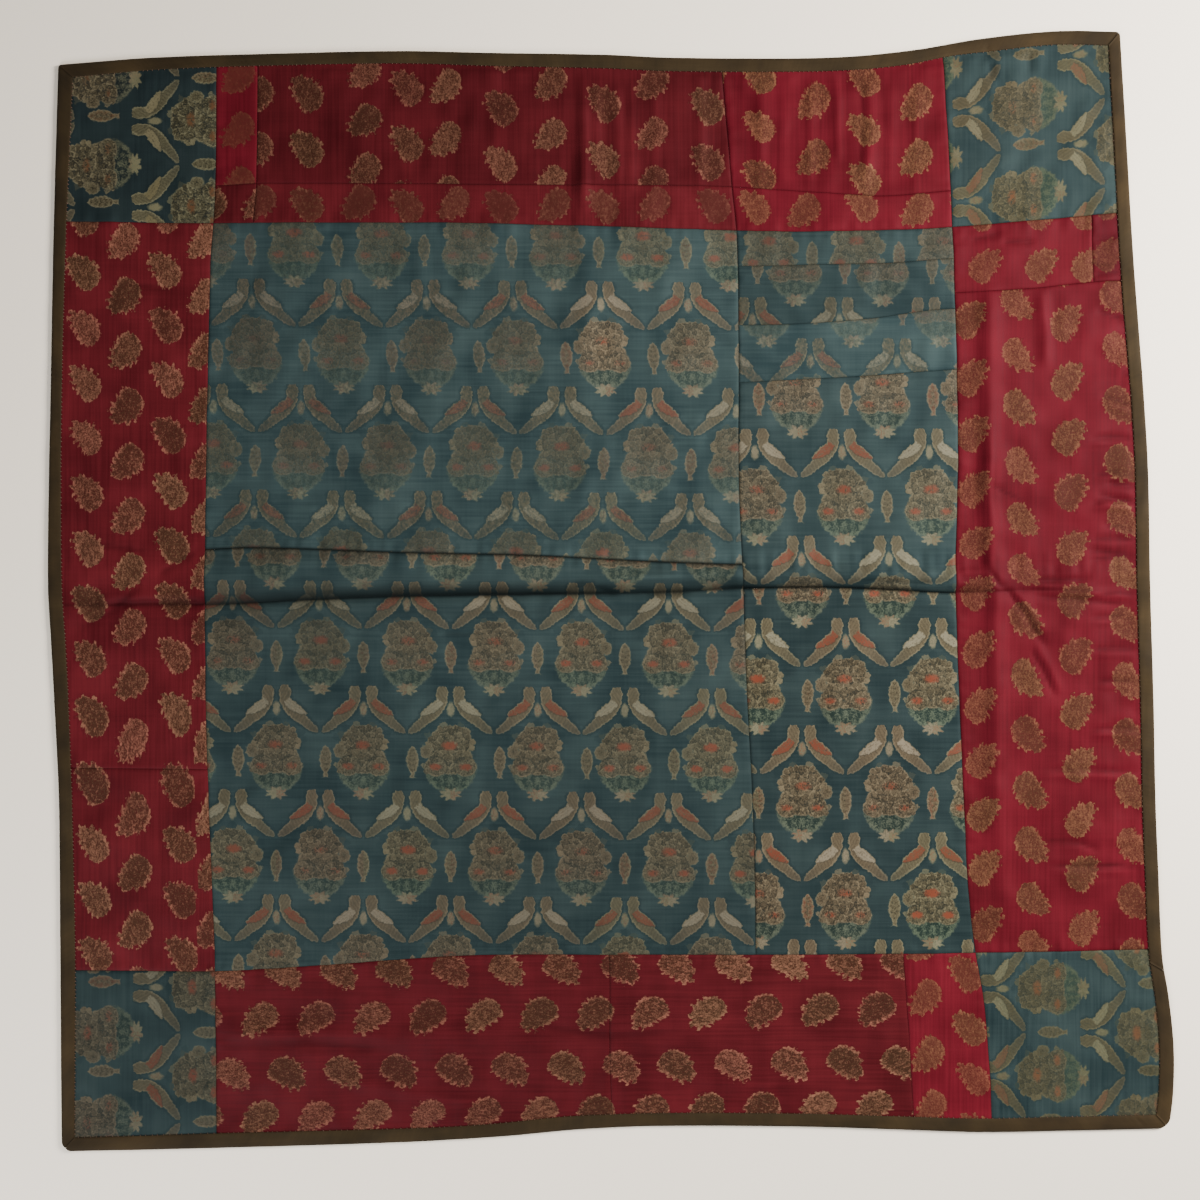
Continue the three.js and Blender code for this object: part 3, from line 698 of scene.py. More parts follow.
def make_tape(name, side, start, end, finish, stations_apart=2.2):
    """A length of binding, folded over the hem. start and end are where it is cut, each
    on the outer fold and on the inner rim."""
    edge = TAPE_EDGES[side]
    inward = TAPE_INWARD[side]
    count = int((end[0] - start[0]) / stations_apart) + 1
    share = np.linspace(0, 1, count)[:, None]
    fold_at = start[0] + (end[0] - start[0]) * share
    rim_at = start[1] + (end[1] - start[1]) * share
    section = np.array(TAPE_SECTION)
    is_upper = section[:, 1] > 1.5
    width = TAPE_WIDTHS[side](rim_at)
    reach = np.where(is_upper, width, TAPE_UNDER) / TAPE_NOMINAL
    far = np.clip((section[:, 0] - 2.0) / 10.0, 0, 1)
    distance = section[:, 0] * (1 + (reach - 1) * far)
    toward_rim = distance / width
    along = fold_at + (rim_at - fold_at) * toward_rim
    across = edge(along) + inward * distance
    height = np.tile(section[:, 1], (count, 1))
    upright = side in ("left", "right")
    x, y = (across, along) if upright else (along, across)
    rise = np.zeros(x.shape)
    for lift, half_width, *points in TAPE_CREASES:
        away, part = distance_to(points, x, y)
        run_out = np.minimum(np.minimum(part, 1 - part) * 5, 1)
        rise += lift * run_out * np.exp(-((away / half_width) ** 2))
    rise += 0.07 * np.sin(along / 9.0 + distance) + 0.05 * np.sin(along / 3.7)
    height = height + rise * is_upper * (section[:, 1] > 2.0)
    plan_x, plan_y = ease_corners(x.copy(), y.copy())
    points = in_metres(plan_x, plan_y, height)
    around = len(section)
    ring = np.arange(count * around).reshape(count, around)
    ahead = np.roll(ring, -1, axis=1)
    a, b, c, d = ring[:-1], ahead[:-1], ahead[1:], ring[1:]
    quads = np.stack([a.ravel(), b.ravel(), c.ravel(), d.ravel()], axis=1)
    lengths = np.hypot(np.diff(section[:, 0], append=section[:1, 0]),
                       np.diff(section[:, 1], append=section[:1, 1]))
    total = lengths.sum()
    round_share = np.concatenate([[0], np.cumsum(lengths)]) / total
    this_share = round_share[None, :-1].repeat(count - 1, 0)
    next_share = round_share[None, 1:].repeat(count - 1, 0)
    near = share[:-1].repeat(around, 1)
    far_end = share[1:].repeat(around, 1)
    along_share = np.stack([part.ravel() for part in (near, near, far_end, far_end)], axis=1)
    round_parts = (this_share, next_share, next_share, this_share)
    around_share = np.stack([part.ravel() for part in round_parts], axis=1)
    length = float(end[0] - start[0])
    bands = max(int(round(math.sqrt(length / total))), 1)
    bake = in_bands(along_share, around_share, 0.004, 0.994, bands)
    cloth = np.stack([along_share * length * MM, around_share * total * MM], axis=2)
    ends = [ring[0].tolist(), ring[-1][::-1].tolist()]
    cut_cloth = np.stack([np.zeros(2 * around), np.tile(section[:, 0], 2) * MM], axis=1)
    cut_bake = np.stack([0.002 + 0.001 * np.tile(section[:, 0], 2) / TAPE_NOMINAL,
                         0.002 + 0.0005 * np.tile(section[:, 1], 2)], axis=1)
    cloth = np.concatenate([cloth.reshape(-1, 2), cut_cloth])
    bake = np.concatenate([bake.reshape(-1, 2), cut_bake])
    maps = {"Cloth": cloth, "OFBake": bake}
    piece = make_piece(name + "_tape", points, quads.tolist() + ends, maps, finish)
    add_reading(piece, "tone", 1 + TAPE_TONE * rippled(x * 1.7, y * 1.7))
    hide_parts(name)
    return piece


def inner_corner(upright, level):
    """Where the inner rims of two sides of the binding meet."""
    x, y = corner_point(TAPE_EDGES[upright], TAPE_EDGES[level])
    for _ in range(12):
        x = float(TAPE_EDGES[upright](y) + TAPE_INWARD[upright] * TAPE_WIDTHS[upright](y))
        y = float(TAPE_EDGES[level](x) + TAPE_INWARD[level] * TAPE_WIDTHS[level](x))
    return x, y


def mitre(side, other):
    """The mitred end of the tape at a corner of the cloth: outer fold, then inner rim."""
    upright, level = (side, other) if side in ("left", "right") else (other, side)
    which = 1 if side == upright else 0
    outer = corner_point(TAPE_EDGES[upright], TAPE_EDGES[level])[which]
    inner = inner_corner(upright, level)[which]
    gap = MITRE_GAP if inner > outer else -MITRE_GAP
    return outer + gap, inner + gap


class Reading:
    """A number that changes over the cloth, worked out by Math nodes in a node group."""

    def __init__(self, tree, socket):
        self.tree = tree
        self.socket = socket

    def worked(self, operation, *others, clamp=False):
        node = self.tree.nodes.new("ShaderNodeMath")
        node.operation = operation
        node.use_clamp = clamp
        for slot, value in enumerate((self, *others)):
            put(self.tree, node.inputs[slot], value)
        return Reading(self.tree, node.outputs[0])

    def __add__(self, other):
        return self.worked("ADD", other)

    def __sub__(self, other):
        return self.worked("SUBTRACT", other)

    def __mul__(self, other):
        return self.worked("MULTIPLY", other)

    def line(self, steepness, start, clamp=False):
        return self.worked("MULTIPLY_ADD", steepness, start, clamp=clamp)

    def clamped(self):
        return self.line(1.0, 0.0, clamp=True)

    def least(self, *others):
        result = self
        for other in others:
            result = result.worked("MINIMUM", other)
        return result

    def most(self, *others):
        result = self
        for other in others:
            result = result.worked("MAXIMUM", other)
        return result

    def size(self):
        return self.worked("ABSOLUTE")

    def where_above(self, soft=0.5):
        """1 where the number is above nothing, 0 where it is below, over a soft edge."""
        return self.line(1 / soft, 0.5, clamp=True)

    def wave(self):
        return self.worked("SINE")

    def cosine(self):
        return self.worked("COSINE")


def put(tree, socket, value):
    """Links a reading or a node's socket to an input, or sets a number or a colour on it."""
    if isinstance(value, Reading):
        tree.links.new(value.socket, socket)
    elif isinstance(value, bpy.types.NodeSocket):
        tree.links.new(value, socket)
    elif isinstance(value, tuple):
        socket.default_value = (*value, 1.0)
    else:
        socket.default_value = value


VECTOR, COLOUR, NUMBER = "NodeSocketVector", "NodeSocketColor", "NodeSocketFloat"


def start_group(name, takes, gives):
    """A shader node group with named sockets, each with its kind."""
    tree = bpy.data.node_groups.new(name, "ShaderNodeTree")
    for label, kind in takes.items():
        tree.interface.new_socket(name=label, in_out="INPUT", socket_type=kind)
    for label, kind in gives.items():
        tree.interface.new_socket(name=label, in_out="OUTPUT", socket_type=kind)
    inside = tree.nodes.new("NodeGroupInput")
    outside = tree.nodes.new("NodeGroupOutput")
    return tree, inside.outputs, outside.inputs


def start_figures(name, threads):
    """The group of a brocade's figures, which takes their repeats, their wear and the
    colour of each of their threads."""
    takes = {"Repeats": VECTOR, "Worn": NUMBER, **dict.fromkeys(threads, COLOUR)}
    return start_group(name, takes, {"Color": COLOUR, "Cover": NUMBER, "Halo": NUMBER})


def split(tree, vector):
    node = tree.nodes.new("ShaderNodeSeparateXYZ")
    tree.links.new(vector, node.inputs[0])
    return Reading(tree, node.outputs[0]), Reading(tree, node.outputs[1])


def joined(tree, x, y, z=0.0):
    node = tree.nodes.new("ShaderNodeCombineXYZ")
    for slot, value in enumerate((x, y, z)):
        put(tree, node.inputs[slot], value)
    return node.outputs[0]


def chance(tree, vector):
    """A number from 0 to 1 for each whole place of the pattern, the same each time."""
    node = tree.nodes.new("ShaderNodeTexWhiteNoise")
    node.noise_dimensions = "3D"
    tree.links.new(vector, node.inputs["Vector"])
    return Reading(tree, node.outputs["Value"])


def noise(tree, vector, scale, detail=2.0, roughness=0.5):
    node = tree.nodes.new("ShaderNodeTexNoise")
    node.noise_dimensions = "2D"
    node.inputs["Scale"].default_value = scale
    node.inputs["Detail"].default_value = detail
    node.inputs["Roughness"].default_value = roughness
    tree.links.new(vector, node.inputs["Vector"])
    return node


def cloudy(tree, vector, scale, detail=2.0, roughness=0.5):
    return Reading(tree, noise(tree, vector, scale, detail, roughness).outputs["Fac"])


def read_number(tree, name):
    """A number that a piece carries at each of its points."""
    node = tree.nodes.new("ShaderNodeAttribute")
    node.attribute_name = name
    return Reading(tree, node.outputs["Fac"])


def read_map(tree, name):
    node = tree.nodes.new("ShaderNodeUVMap")
    node.uv_map = name
    return node.outputs["UV"]


def drawn(tree, reading, points):
    """A line drawn through given points from 0 to 1, read at a number."""
    node = tree.nodes.new("ShaderNodeFloatCurve")
    put(tree, node.inputs["Value"], reading)
    curve = node.mapping.curves[0]
    curve.points[0].location = points[0]
    curve.points[1].location = points[-1]
    for point in points[1:-1]:
        curve.points.new(*point)
    node.mapping.update()
    return Reading(tree, node.outputs[0])


# Socket places of a Mix node in colour mode
MIX_SHARE, MIX_FIRST, MIX_SECOND, MIX_RESULT = 0, 6, 7, 2


def mixed(tree, first, second, share, how="MIX"):
    node = tree.nodes.new("ShaderNodeMix")
    node.data_type = "RGBA"
    node.blend_type = how
    put(tree, node.inputs[MIX_SHARE], share)
    put(tree, node.inputs[MIX_FIRST], first)
    put(tree, node.inputs[MIX_SECOND], second)
    return node.outputs[MIX_RESULT]


def oval(tree, x, y, middle_x, middle_y, half_x, half_y):
    """1 on the oval's line and less inside it."""
    across = x.line(1 / half_x, -middle_x / half_x)
    down = y.line(1 / half_y, -middle_y / half_y)
    node = tree.nodes.new("ShaderNodeVectorMath")
    node.operation = "LENGTH"
    tree.links.new(joined(tree, across, down), node.inputs[0])
    around = down.worked("ARCTAN2", across)
    return Reading(tree, node.outputs["Value"]), around


def cells(tree, x, y, wide, tall, ragged=0.9):
    """Small uneven cells, as petals, leaves or strokes: the middle of the cell that a point
    lies in, the distance from it, the distance to the cell's edge and the cell's chance."""
    place = joined(tree, x * (1 / wide), y * (1 / tall))
    nodes = []
    for feature in ("F1", "DISTANCE_TO_EDGE"):
        node = tree.nodes.new("ShaderNodeTexVoronoi")
        node.voronoi_dimensions = "2D"
        node.feature = feature
        node.inputs["Scale"].default_value = 1.0
        node.inputs["Randomness"].default_value = ragged
        tree.links.new(place, node.inputs["Vector"])
        nodes.append(node)
    middle_x, middle_y = split(tree, nodes[0].outputs["Position"])
    luck, _ = split(tree, nodes[0].outputs["Color"])
    far = Reading(tree, nodes[0].outputs["Distance"])
    edge = Reading(tree, nodes[1].outputs["Distance"])
    return middle_x * wide, middle_y * tall, far, edge, luck


# The colours of the figures' threads
BIRD_THREADS = {
    "Thread": (0.038, 0.029, 0.0175), "Edge": (0.124, 0.100, 0.062),
    "Shadow": (0.012, 0.012, 0.009), "Faded": (0.0175, 0.0205, 0.0145),
    "First Wing": (0.115, 0.034, 0.019), "Second Wing": (0.16, 0.14, 0.10),
    "Heart": (0.14, 0.034, 0.018), "Leaf": (0.011, 0.018, 0.0135),
    "Leaf Light": (0.080, 0.094, 0.064),
}
GOLD_THREADS = {
    "Thread": (0.0225, 0.0195, 0.011), "Edge": (0.096, 0.086, 0.052),
    "Shadow": (0.009, 0.010, 0.009), "Faded": (0.03, 0.03, 0.022),
    "First Wing": (0.09, 0.075, 0.04), "Second Wing": (0.10, 0.085, 0.05),
    "Heart": (0.065, 0.03, 0.014), "Leaf": (0.008, 0.011, 0.010),
    "Leaf Light": (0.07, 0.075, 0.046),
}
GILT_THREADS = {
    "Thread": (0.0325, 0.0265, 0.0125), "Edge": (0.100, 0.082, 0.043),
    "Shadow": (0.014, 0.014, 0.010), "Faded": (0.0205, 0.0205, 0.0115),
    "First Wing": (0.10, 0.045, 0.022), "Second Wing": (0.13, 0.12, 0.07),
    "Heart": (0.13, 0.045, 0.015), "Leaf": (0.014, 0.026, 0.016),
    "Leaf Light": (0.066, 0.077, 0.040),
}
CRIMSON_THREADS = {
    "Thread": (0.043, 0.022, 0.013), "Edge": (0.20, 0.088, 0.060),
    "Shadow": (0.024, 0.011, 0.007), "Faded": (0.050, 0.017, 0.011),
}
ROSE_THREADS = {
    "Thread": (0.041, 0.0185, 0.0105), "Edge": (0.140, 0.058, 0.033),
    "Shadow": (0.022, 0.011, 0.006), "Faded": (0.048, 0.016, 0.010),
}

BIRD_PITCH = 72.2  # from one pair of birds to the next in a row, in millimetres
BIRD_ROW = 87.2  # from one row of birds to the next
ROW_START = 0.05  # share of a row that lies above the birds' heads

# Ovals of the blue brocade's figures: middle across and down, half width and half height,
# in millimetres from the point between the heads of a pair of birds
DROP = (0.0, 14.8, 3.0, 5.6)
BLOOM = (0.0, 40.8, 19.6, 13.6)
BLOOM_MIDDLE = (0.0, 41.6, 17.6, 13.4)
BLOOM_HEART = (0.8, 45.0, 5.6, 3.3)
SMALL_FLOWER = (12.8, 62.4, 9.8, 7.4)
SMALL_MIDDLE = (12.4, 62.8, 9.3, 8.0)
SMALL_HEART = (12.8, 62.8, 4.4, 2.6)
BETWEEN_FLOWERS = (0.0, 56.0, 18.6, 13.0)
SIDE_FLOWER = (20.2, 50.0, 4.9, 5.8)
SPRAY = (0.0, 62.0, 21.6, 22.5)
SPRAY_FOOT = (0.0, 90.0, 1.0, 1.0)
STAR = (0.0, 85.4, 8.4, 5.0)

# Half outlines of a bird's back and breast and of the bud, from one end to the other, and
# the length and half width that they are drawn at
BIRD_BACK = [
    (0.0, 0.0), (0.03, 0.42), (0.095, 0.66), (0.16, 0.66), (0.22, 0.48), (0.272, 0.3),
    (0.33, 0.4), (0.384, 0.58), (0.48, 0.7), (0.568, 0.8), (0.63, 0.76), (0.66, 0.53),
    (0.8, 0.5), (0.91, 0.42), (0.97, 0.24), (1.0, 0.0),
]
BIRD_BREAST = [
    (0.0, 0.0), (0.03, 0.35), (0.07, 0.59), (0.14, 0.7), (0.21, 0.88), (0.34, 0.92),
    (0.53, 0.8), (0.69, 0.54), (0.86, 0.42), (0.95, 0.24), (1.0, 0.0),
]
BUD_SIDE = [
    (0.0, 0.0), (0.1, 0.5), (0.25, 0.88), (0.45, 1.0), (0.62, 0.9), (0.76, 0.62), (0.86, 0.36),
    (0.93, 0.36), (1.0, 0.55),
]
BIRD_LONG, BIRD_HALF = 50, 8.0
BUD_LONG, BUD_HALF, BUD_TOP = 26.5, 4.9, 45.4


def make_bird_and_bouquet():
    """The blue brocade's figures: facing birds over a bouquet, in rows half a pitch apart.
    The coordinates count the repeats: one across for a pitch and one down for a row."""
    tree, takes, gives = start_figures("bird_and_bouquet", BIRD_THREADS)
    sway_u, sway_v = split(tree, noise(tree, takes["Repeats"], 34.0, 1.0).outputs["Color"])
    u, v = split(tree, takes["Repeats"])
    u = u + sway_u.line(0.03, -0.015)
    v = v + sway_v.line(0.024, -0.012)
    row = (v + ROW_START).worked("FLOOR")
    down = (v - row) * BIRD_ROW
    skewed = u + row * 0.5
    column = skewed.worked("ROUND")
    offset = skewed - column
    side = offset.worked("SIGN")
    x = offset.size() * BIRD_PITCH
    x_far = x.line(-1.0, BIRD_PITCH / 2)
    parity = (column * 0.5).worked("FRACT").worked("GREATER_THAN", 0.25)
    luck = chance(tree, joined(tree, column, row))
    far_luck = chance(tree, joined(tree, column * 2.0 + side, row, 3.7))
    grain = cloudy(tree, takes["Repeats"], 62.0, 1.0, 0.6)
    speck = cloudy(tree, takes["Repeats"], 24.0, 1.0, 0.6)
    stir = speck.line(2.0, -1.0)

    odd_row = (row * 0.5).worked("FRACT").line(-4.0, 1.0)
    facing_x = offset * odd_row * BIRD_PITCH
    choice = speck.line(5.0, -2.1, clamp=True)

    # Birds, on their own axis from head to tail
    out = x.line(1.0, -6.3)
    along = out * 0.602 + down * 0.799
    across = out * 0.799 - down * 0.602
    across = across + along * along.line(-1.0, 40.0) * 0.0066
    share = along.line(1 / BIRD_LONG, 0.1)
    back = drawn(tree, share, BIRD_BACK) * BIRD_HALF - across
    breast = drawn(tree, share, BIRD_BREAST) * BIRD_HALF + across
    in_bird = back.least(breast)
    bird = in_bird.where_above(0.9)
    wing_turn = along.line(1.0, -9.0).most(0.0)
    under_wing = across + 4.4 - wing_turn * wing_turn * 0.028
    wing = under_wing.least(back - 0.8, along - 7.5).where_above(1.0)
    wing_line = under_wing.size().line(-1.0, 0.7).least(along - 8.0, in_bird).where_above(0.8)
    bird_light = in_bird.line(-0.6, 1.3).most(0.4) + (along * 2.1 + across).wave() * 0.1
    drop_line, _ = oval(tree, x, down, *DROP)
    drop = drop_line.line(-2.6, 2.6).where_above(1.2)

    # The open flower: petals in an uneven ring, each with a pale rim or a dark one
    petals = cells(tree, facing_x + stir * 0.8, down - stir * 0.7, 5.3, 4.9)
    petal_x, petal_y, petal_far, petal_edge, petal_luck = petals
    bloom_line, _ = oval(tree, petal_x, petal_y, *BLOOM)
    bloom_middle, _ = oval(tree, facing_x, down, *BLOOM_MIDDLE)
    round_petal = petal_far.line(-5.2, 3.2)
    bloom_depth = bloom_line.line(-9.0, 9.0).least(round_petal)
    bloom_depth = bloom_depth.most(bloom_middle.line(-14.0, 14.0))
    bloom = bloom_depth.where_above(0.9)
    heart_line = oval(tree, facing_x, down, *BLOOM_HEART)[0]
    bloom_heart = (heart_line + stir * 0.35).line(-3.4, 3.4).where_above(2.2)

    # Two small flowers under it, and one bud flower that hangs out on one side
    small_line, _ = oval(tree, petal_x.size(), petal_y, *SMALL_FLOWER)
    small_middle, _ = oval(tree, x, down, *SMALL_MIDDLE)
    small_depth = small_line.line(-7.0, 7.0).least(round_petal)
    small_depth = small_depth.most(small_middle.line(-8.0, 8.0))
    between = oval(tree, facing_x, down, *BETWEEN_FLOWERS)[0].line(-12.0, 12.0)
    small_depth = small_depth.most(between).least(down.line(-1.0, 71.4))
    small = small_depth.where_above(0.9)
    small_gap = small_middle.line(1.0, -1.06).size().line(-9.0, 1.0).most(0.0)
    small_heart_line = oval(tree, x, down, *SMALL_HEART)[0]
    small_heart = (small_heart_line + stir * 0.35).line(-2.8, 2.8).where_above(2.0)
    side_line = oval(tree, facing_x, down, *SIDE_FLOWER)[0]
    side_depth = (side_line + stir * 0.12).line(-5.0, 5.0)
    side_flower = side_depth.where_above(1.0)

    # The spray of leaves and the star under it reach into the row below
    below = down.line(-1.0, 25.0).worked("GREATER_THAN", 0.0)
    spray_x = x + (x_far - x) * below
    spray_y = down + below * BIRD_ROW
    spray_line, _ = oval(tree, spray_x, spray_y, *SPRAY)
    spray_depth = (spray_line + stir * 0.07).line(-18.0, 18.0)
    spray = spray_depth.least(spray_y - 62.0).where_above(1.6)
    leaf_bend = spray_x * spray_x * 0.016
    leaves = cells(tree, spray_x + stir * 1.2, spray_y - leaf_bend, 5.2, 2.6)
    foot_line, foot_turn = oval(tree, spray_x, spray_y, *SPRAY_FOOT)
    strokes = (foot_turn * 15.0 + foot_line * 0.35 + stir * 2.2).wave()
    leaf_light = leaves[3].line(-7.0, 1.0).most(0.0) * choice + leaves[4] * 0.45
    leaf_light = leaf_light + strokes * 0.3
    leaf_light = leaf_light * 0.9 + spray_depth.line(-0.22, 0.75).most(0.0)
    leaf_light = (leaf_light + grain.line(1.4, -0.75)).clamped()
    star_line, star_turn = oval(tree, spray_x, spray_y, *STAR)
    star = (star_line + (star_turn * 8.0).cosine() * 0.2).line(-5.0, 4.6).where_above(1.4)

    # The pointed bud between two bouquets, a little to one side in every second row
    bud_x = ((offset - side * 0.5) * BIRD_PITCH + odd_row.line(2.3, -2.3)).size()
    bud_share = down.line(1 / BUD_LONG, -BUD_TOP / BUD_LONG)
    bud_depth = drawn(tree, bud_share, BUD_SIDE) * BUD_HALF - bud_x
    bud_depth = bud_depth.least(down - BUD_TOP, down.line(-1.0, BUD_TOP + BUD_LONG - 0.1))
    bud = bud_depth.where_above(1.0)
    bud_light = bud_depth.line(-0.3, 0.9).most(0.3) + (down * 1.5 + bud_x * 0.8).wave() * 0.14

    # Threads of the flowers
    rim = petal_edge.line(-6.5, 1.0).most(0.0)
    outline = bloom_depth.most(small_depth).line(-0.6, 0.8).most(0.0)
    light = petal_luck * 0.4 + (petal_y - down) * 0.035 + rim * choice + outline
    light = light + (side_depth.line(-0.1, 0.55) - light) * side_flower
    light = light + (bird_light - light) * bird
    light = light + (bud_light - light) * bud
    light = light + grain.line(1.2, -0.58) * bird.line(-0.6, 1.0)
    flowers = bloom.most(small) * bird.line(-1.0, 1.0)
    dark_line = (rim * choice.line(-1.0, 1.0)).most(small_gap * 0.8) * flowers
    dark_line = (dark_line + light.line(-2.5, 0.2).most(0.0)).most(wing_line * 0.7)
    dark_line = dark_line.clamped()
    light = light.clamped()
    flower = mixed(tree, takes["Thread"], takes["Edge"], light)
    flower = mixed(tree, flower, takes["Shadow"], dark_line * 0.8)
    leafy = mixed(tree, takes["Leaf"], takes["Leaf Light"], leaf_light)
    blooms = bloom.most(small, side_flower, bird, bud)
    result = mixed(tree, leafy, flower, blooms)
    first = mixed(tree, takes["First Wing"], takes["Second Wing"], parity)
    feathers = (across * 2.6 - along * 0.9 + stir * 2.0).wave() * 0.2
    result = mixed(tree, result, first, wing * ((grain + speck).line(1.3, -0.42) + feathers))
    hearts = bloom_heart.most(small_heart) * (luck * 0.8 + speck * 1.5 + grain).line(1.4, -1.65)
    hearts = hearts.clamped()
    result = mixed(tree, result, takes["Heart"], hearts)
    star_or_drop = (star + drop).least(1.0)
    result = mixed(tree, result, takes["Edge"], star_or_drop * grain.line(1.2, 0.1))
    result = mixed(tree, result, first, (drop + star) * grain.line(1.4, -0.5).most(0.0))
    result = mixed(tree, result, takes["Heart"], bud * (far_luck * speck).line(1.2, -0.4).most(0.0))
    tint = mixed(tree, (1.0, 0.88, 0.84), (0.96, 1.03, 0.9), luck)
    result = mixed(tree, result, tint, 0.8, "MULTIPLY")
    fading = Reading(tree, takes["Worn"])
    result = mixed(tree, result, takes["Faded"], fading * speck.line(1.5, 0.05))
    tail = (along - 22.0).line(0.05, 0.0).most(0.0) * bird
    cover = bird.most(bloom, small, side_flower, spray * 0.8, star, bud, drop) - tail * 0.35
    worn = (grain + speck).line(1.1, 0.12).least(1.0)
    worn = worn * (fading * grain.line(-1.5, 0.25)).line(1.0, 1.0)
    halo = in_bird.line(0.35, 1.0).most(bloom_depth.line(0.35, 0.8), 0.0).least(1.0)
    put(tree, gives["Color"], result)
    put(tree, gives["Cover"], cover * worn)
    put(tree, gives["Halo"], halo)
    return tree


SPRIG_ACROSS = 41.5  # from one column of sprigs to the next, in millimetres
SPRIG_ALONG = 46.2  # from one sprig to the next in a column
SPRIG_SIDE = [
    (0.0, 0.0), (0.05, 0.56), (0.16, 0.88), (0.34, 1.0), (0.56, 1.0), (0.72, 0.86),
    (0.84, 0.66), (0.93, 0.42), (1.0, 0.1),
]


def make_sprigs():
    """The red brocade's figures: a feathery sprig at each whole number of the
    coordinates, leaning one way in even columns and the other way in odd ones."""
    tree, takes, gives = start_figures("sprigs", CRIMSON_THREADS)
    u, v = split(tree, takes["Repeats"])
    column = u.worked("ROUND")
    place = v.worked("ROUND")
    x = (u - column) * SPRIG_ACROSS
    lean = (column * 0.5).worked("FRACT").worked("GREATER_THAN", 0.25).line(2.0, -1.0)
    y = (v - place) * SPRIG_ALONG * lean
    luck = chance(tree, joined(tree, column, place))
    other_luck = chance(tree, joined(tree, column, place, 5.3))
    grain = cloudy(tree, takes["Repeats"], 36.0, 1.0, 0.6)
    speck = cloudy(tree, takes["Repeats"], 15.0, 1.0, 0.6)
    stir = speck.line(2.0, -1.0)
    shift_x, shift_y = luck * 90.0, other_luck * 90.0
    strokes = cells(tree, x + shift_x + stir * 0.5, y + shift_y, 1.5, 2.9, 1.0)
    stroke_x, stroke_y, _, stroke_edge, stroke_luck = strokes
    x = x * 0.5 + (stroke_x - shift_x) * 0.5
    y = y * 0.5 + (stroke_y - shift_y) * 0.5
    along = x * -0.53 - y * 0.848 - 0.5
    across = x * 0.848 - y * 0.53
    across = across + along * along * 0.011 - 0.7
    half = drawn(tree, along.line(1 / 33.0, 0.46), SPRIG_SIDE) * luck.line(1.8, 10.0)
    turn = across.worked("ARCTAN2", along)
    spikes = (turn * 13.0 + stir * 2.0 + luck * 6.0).wave() * along.line(0.07, 0.8)
    barbs = (along * 2.1 + across.size() * 1.3 + stir * 2.0).wave()
    depth = half - across.size() + spikes * 1.2 + barbs * 0.5 + stroke_luck.line(2.0, -1.0) + stir
    fringe = depth.line(-0.38, 1.15).clamped()
    cover = depth.where_above(1.3)
    light = stroke_luck * 0.55 + grain.line(1.2, -0.72) + fringe * stroke_luck.line(0.8, 0.25)
    light = light + barbs * 0.1 - (luck - 0.5) * fringe.line(-0.5, 0.5)
    dark_line = light.line(-1.2, 0.2).most(0.0) + stroke_edge.line(-2.2, 0.35).most(0.0)
    dark_line = dark_line.clamped()
    light = light.clamped()
    result = mixed(tree, takes["Thread"], takes["Edge"], light)
    result = mixed(tree, result, takes["Shadow"], dark_line * 0.8)
    tint = mixed(tree, (1.08, 0.86, 0.84), (0.98, 1.08, 0.88), other_luck)
    result = mixed(tree, result, tint, 0.8, "MULTIPLY")
    fading = Reading(tree, takes["Worn"])
    result = mixed(tree, result, takes["Faded"], fading * speck.line(1.5, 0.05))
    worn = grain.line(1.6, 0.05) + light * 0.3 + other_luck * 0.2
    worn = worn * (fading * grain.line(-1.5, 0.25)).line(1.0, 1.0)
    put(tree, gives["Color"], result)
    put(tree, gives["Cover"], cover * worn.least(1.0))
    put(tree, gives["Halo"], depth.line(0.3, 0.8).most(0.0).least(1.0))
    return tree


def make_threads():
    """The ground weave: fine threads both ways, and slow streaks along the weft."""
    tree, takes, gives = start_group(
        "threads", {"Cloth": VECTOR, "Streak": NUMBER},
        {"Height": NUMBER, "Shade": NUMBER, "Cloud": NUMBER})
    u, v = split(tree, takes["Cloth"])
    x = u * 1000.0
    y = v * 1000.0
    warp = (x * 7.5).wave()
    weft = (y * 6.3).wave()
    weft_streak = cloudy(tree, joined(tree, x * 0.011, y * 0.42), 1.0, 2.0, 0.62)
    warp_streak = cloudy(tree, joined(tree, x * 0.5, y * 0.012), 1.0, 1.0)
    balance = Reading(tree, takes["Streak"])
    put(tree, gives["Height"], (warp * weft).line(0.25, 0.5))
    put(tree, gives["Shade"], weft_streak + (warp_streak - weft_streak) * balance)
    put(tree, gives["Cloud"], cloudy(tree, joined(tree, x, y), 0.022))
    return tree


BIRDS = make_bird_and_bouquet()
SPRIGS = make_sprigs()
THREADS = make_threads()


def place_group(tree, group, values):
    node = tree.nodes.new("ShaderNodeGroup")
    node.node_tree = group
    for label, value in values.items():
        put(tree, node.inputs[label], value)
    return node


def start_finish(name):
    """A new finish: its node tree, its shader, its cloth in metres and its tone."""
    finish = bpy.data.materials.new(name)
    finish.use_nodes = True
    tree = finish.node_tree
    shader = tree.nodes["Principled BSDF"]
    return finish, tree, shader, read_map(tree, "Cloth"), read_number(tree, "tone")


def finish_surface(tree, shader, colour, roughness, height, bump_depth):
    put(tree, shader.inputs["Base Color"], colour)
    put(tree, shader.inputs["Roughness"], roughness)
    bump = tree.nodes.new("ShaderNodeBump")
    bump.inputs["Strength"].default_value = 0.6
    bump.inputs["Distance"].default_value = bump_depth
    put(tree, bump.inputs["Height"], height)
    tree.links.new(bump.outputs["Normal"], shader.inputs["Normal"])


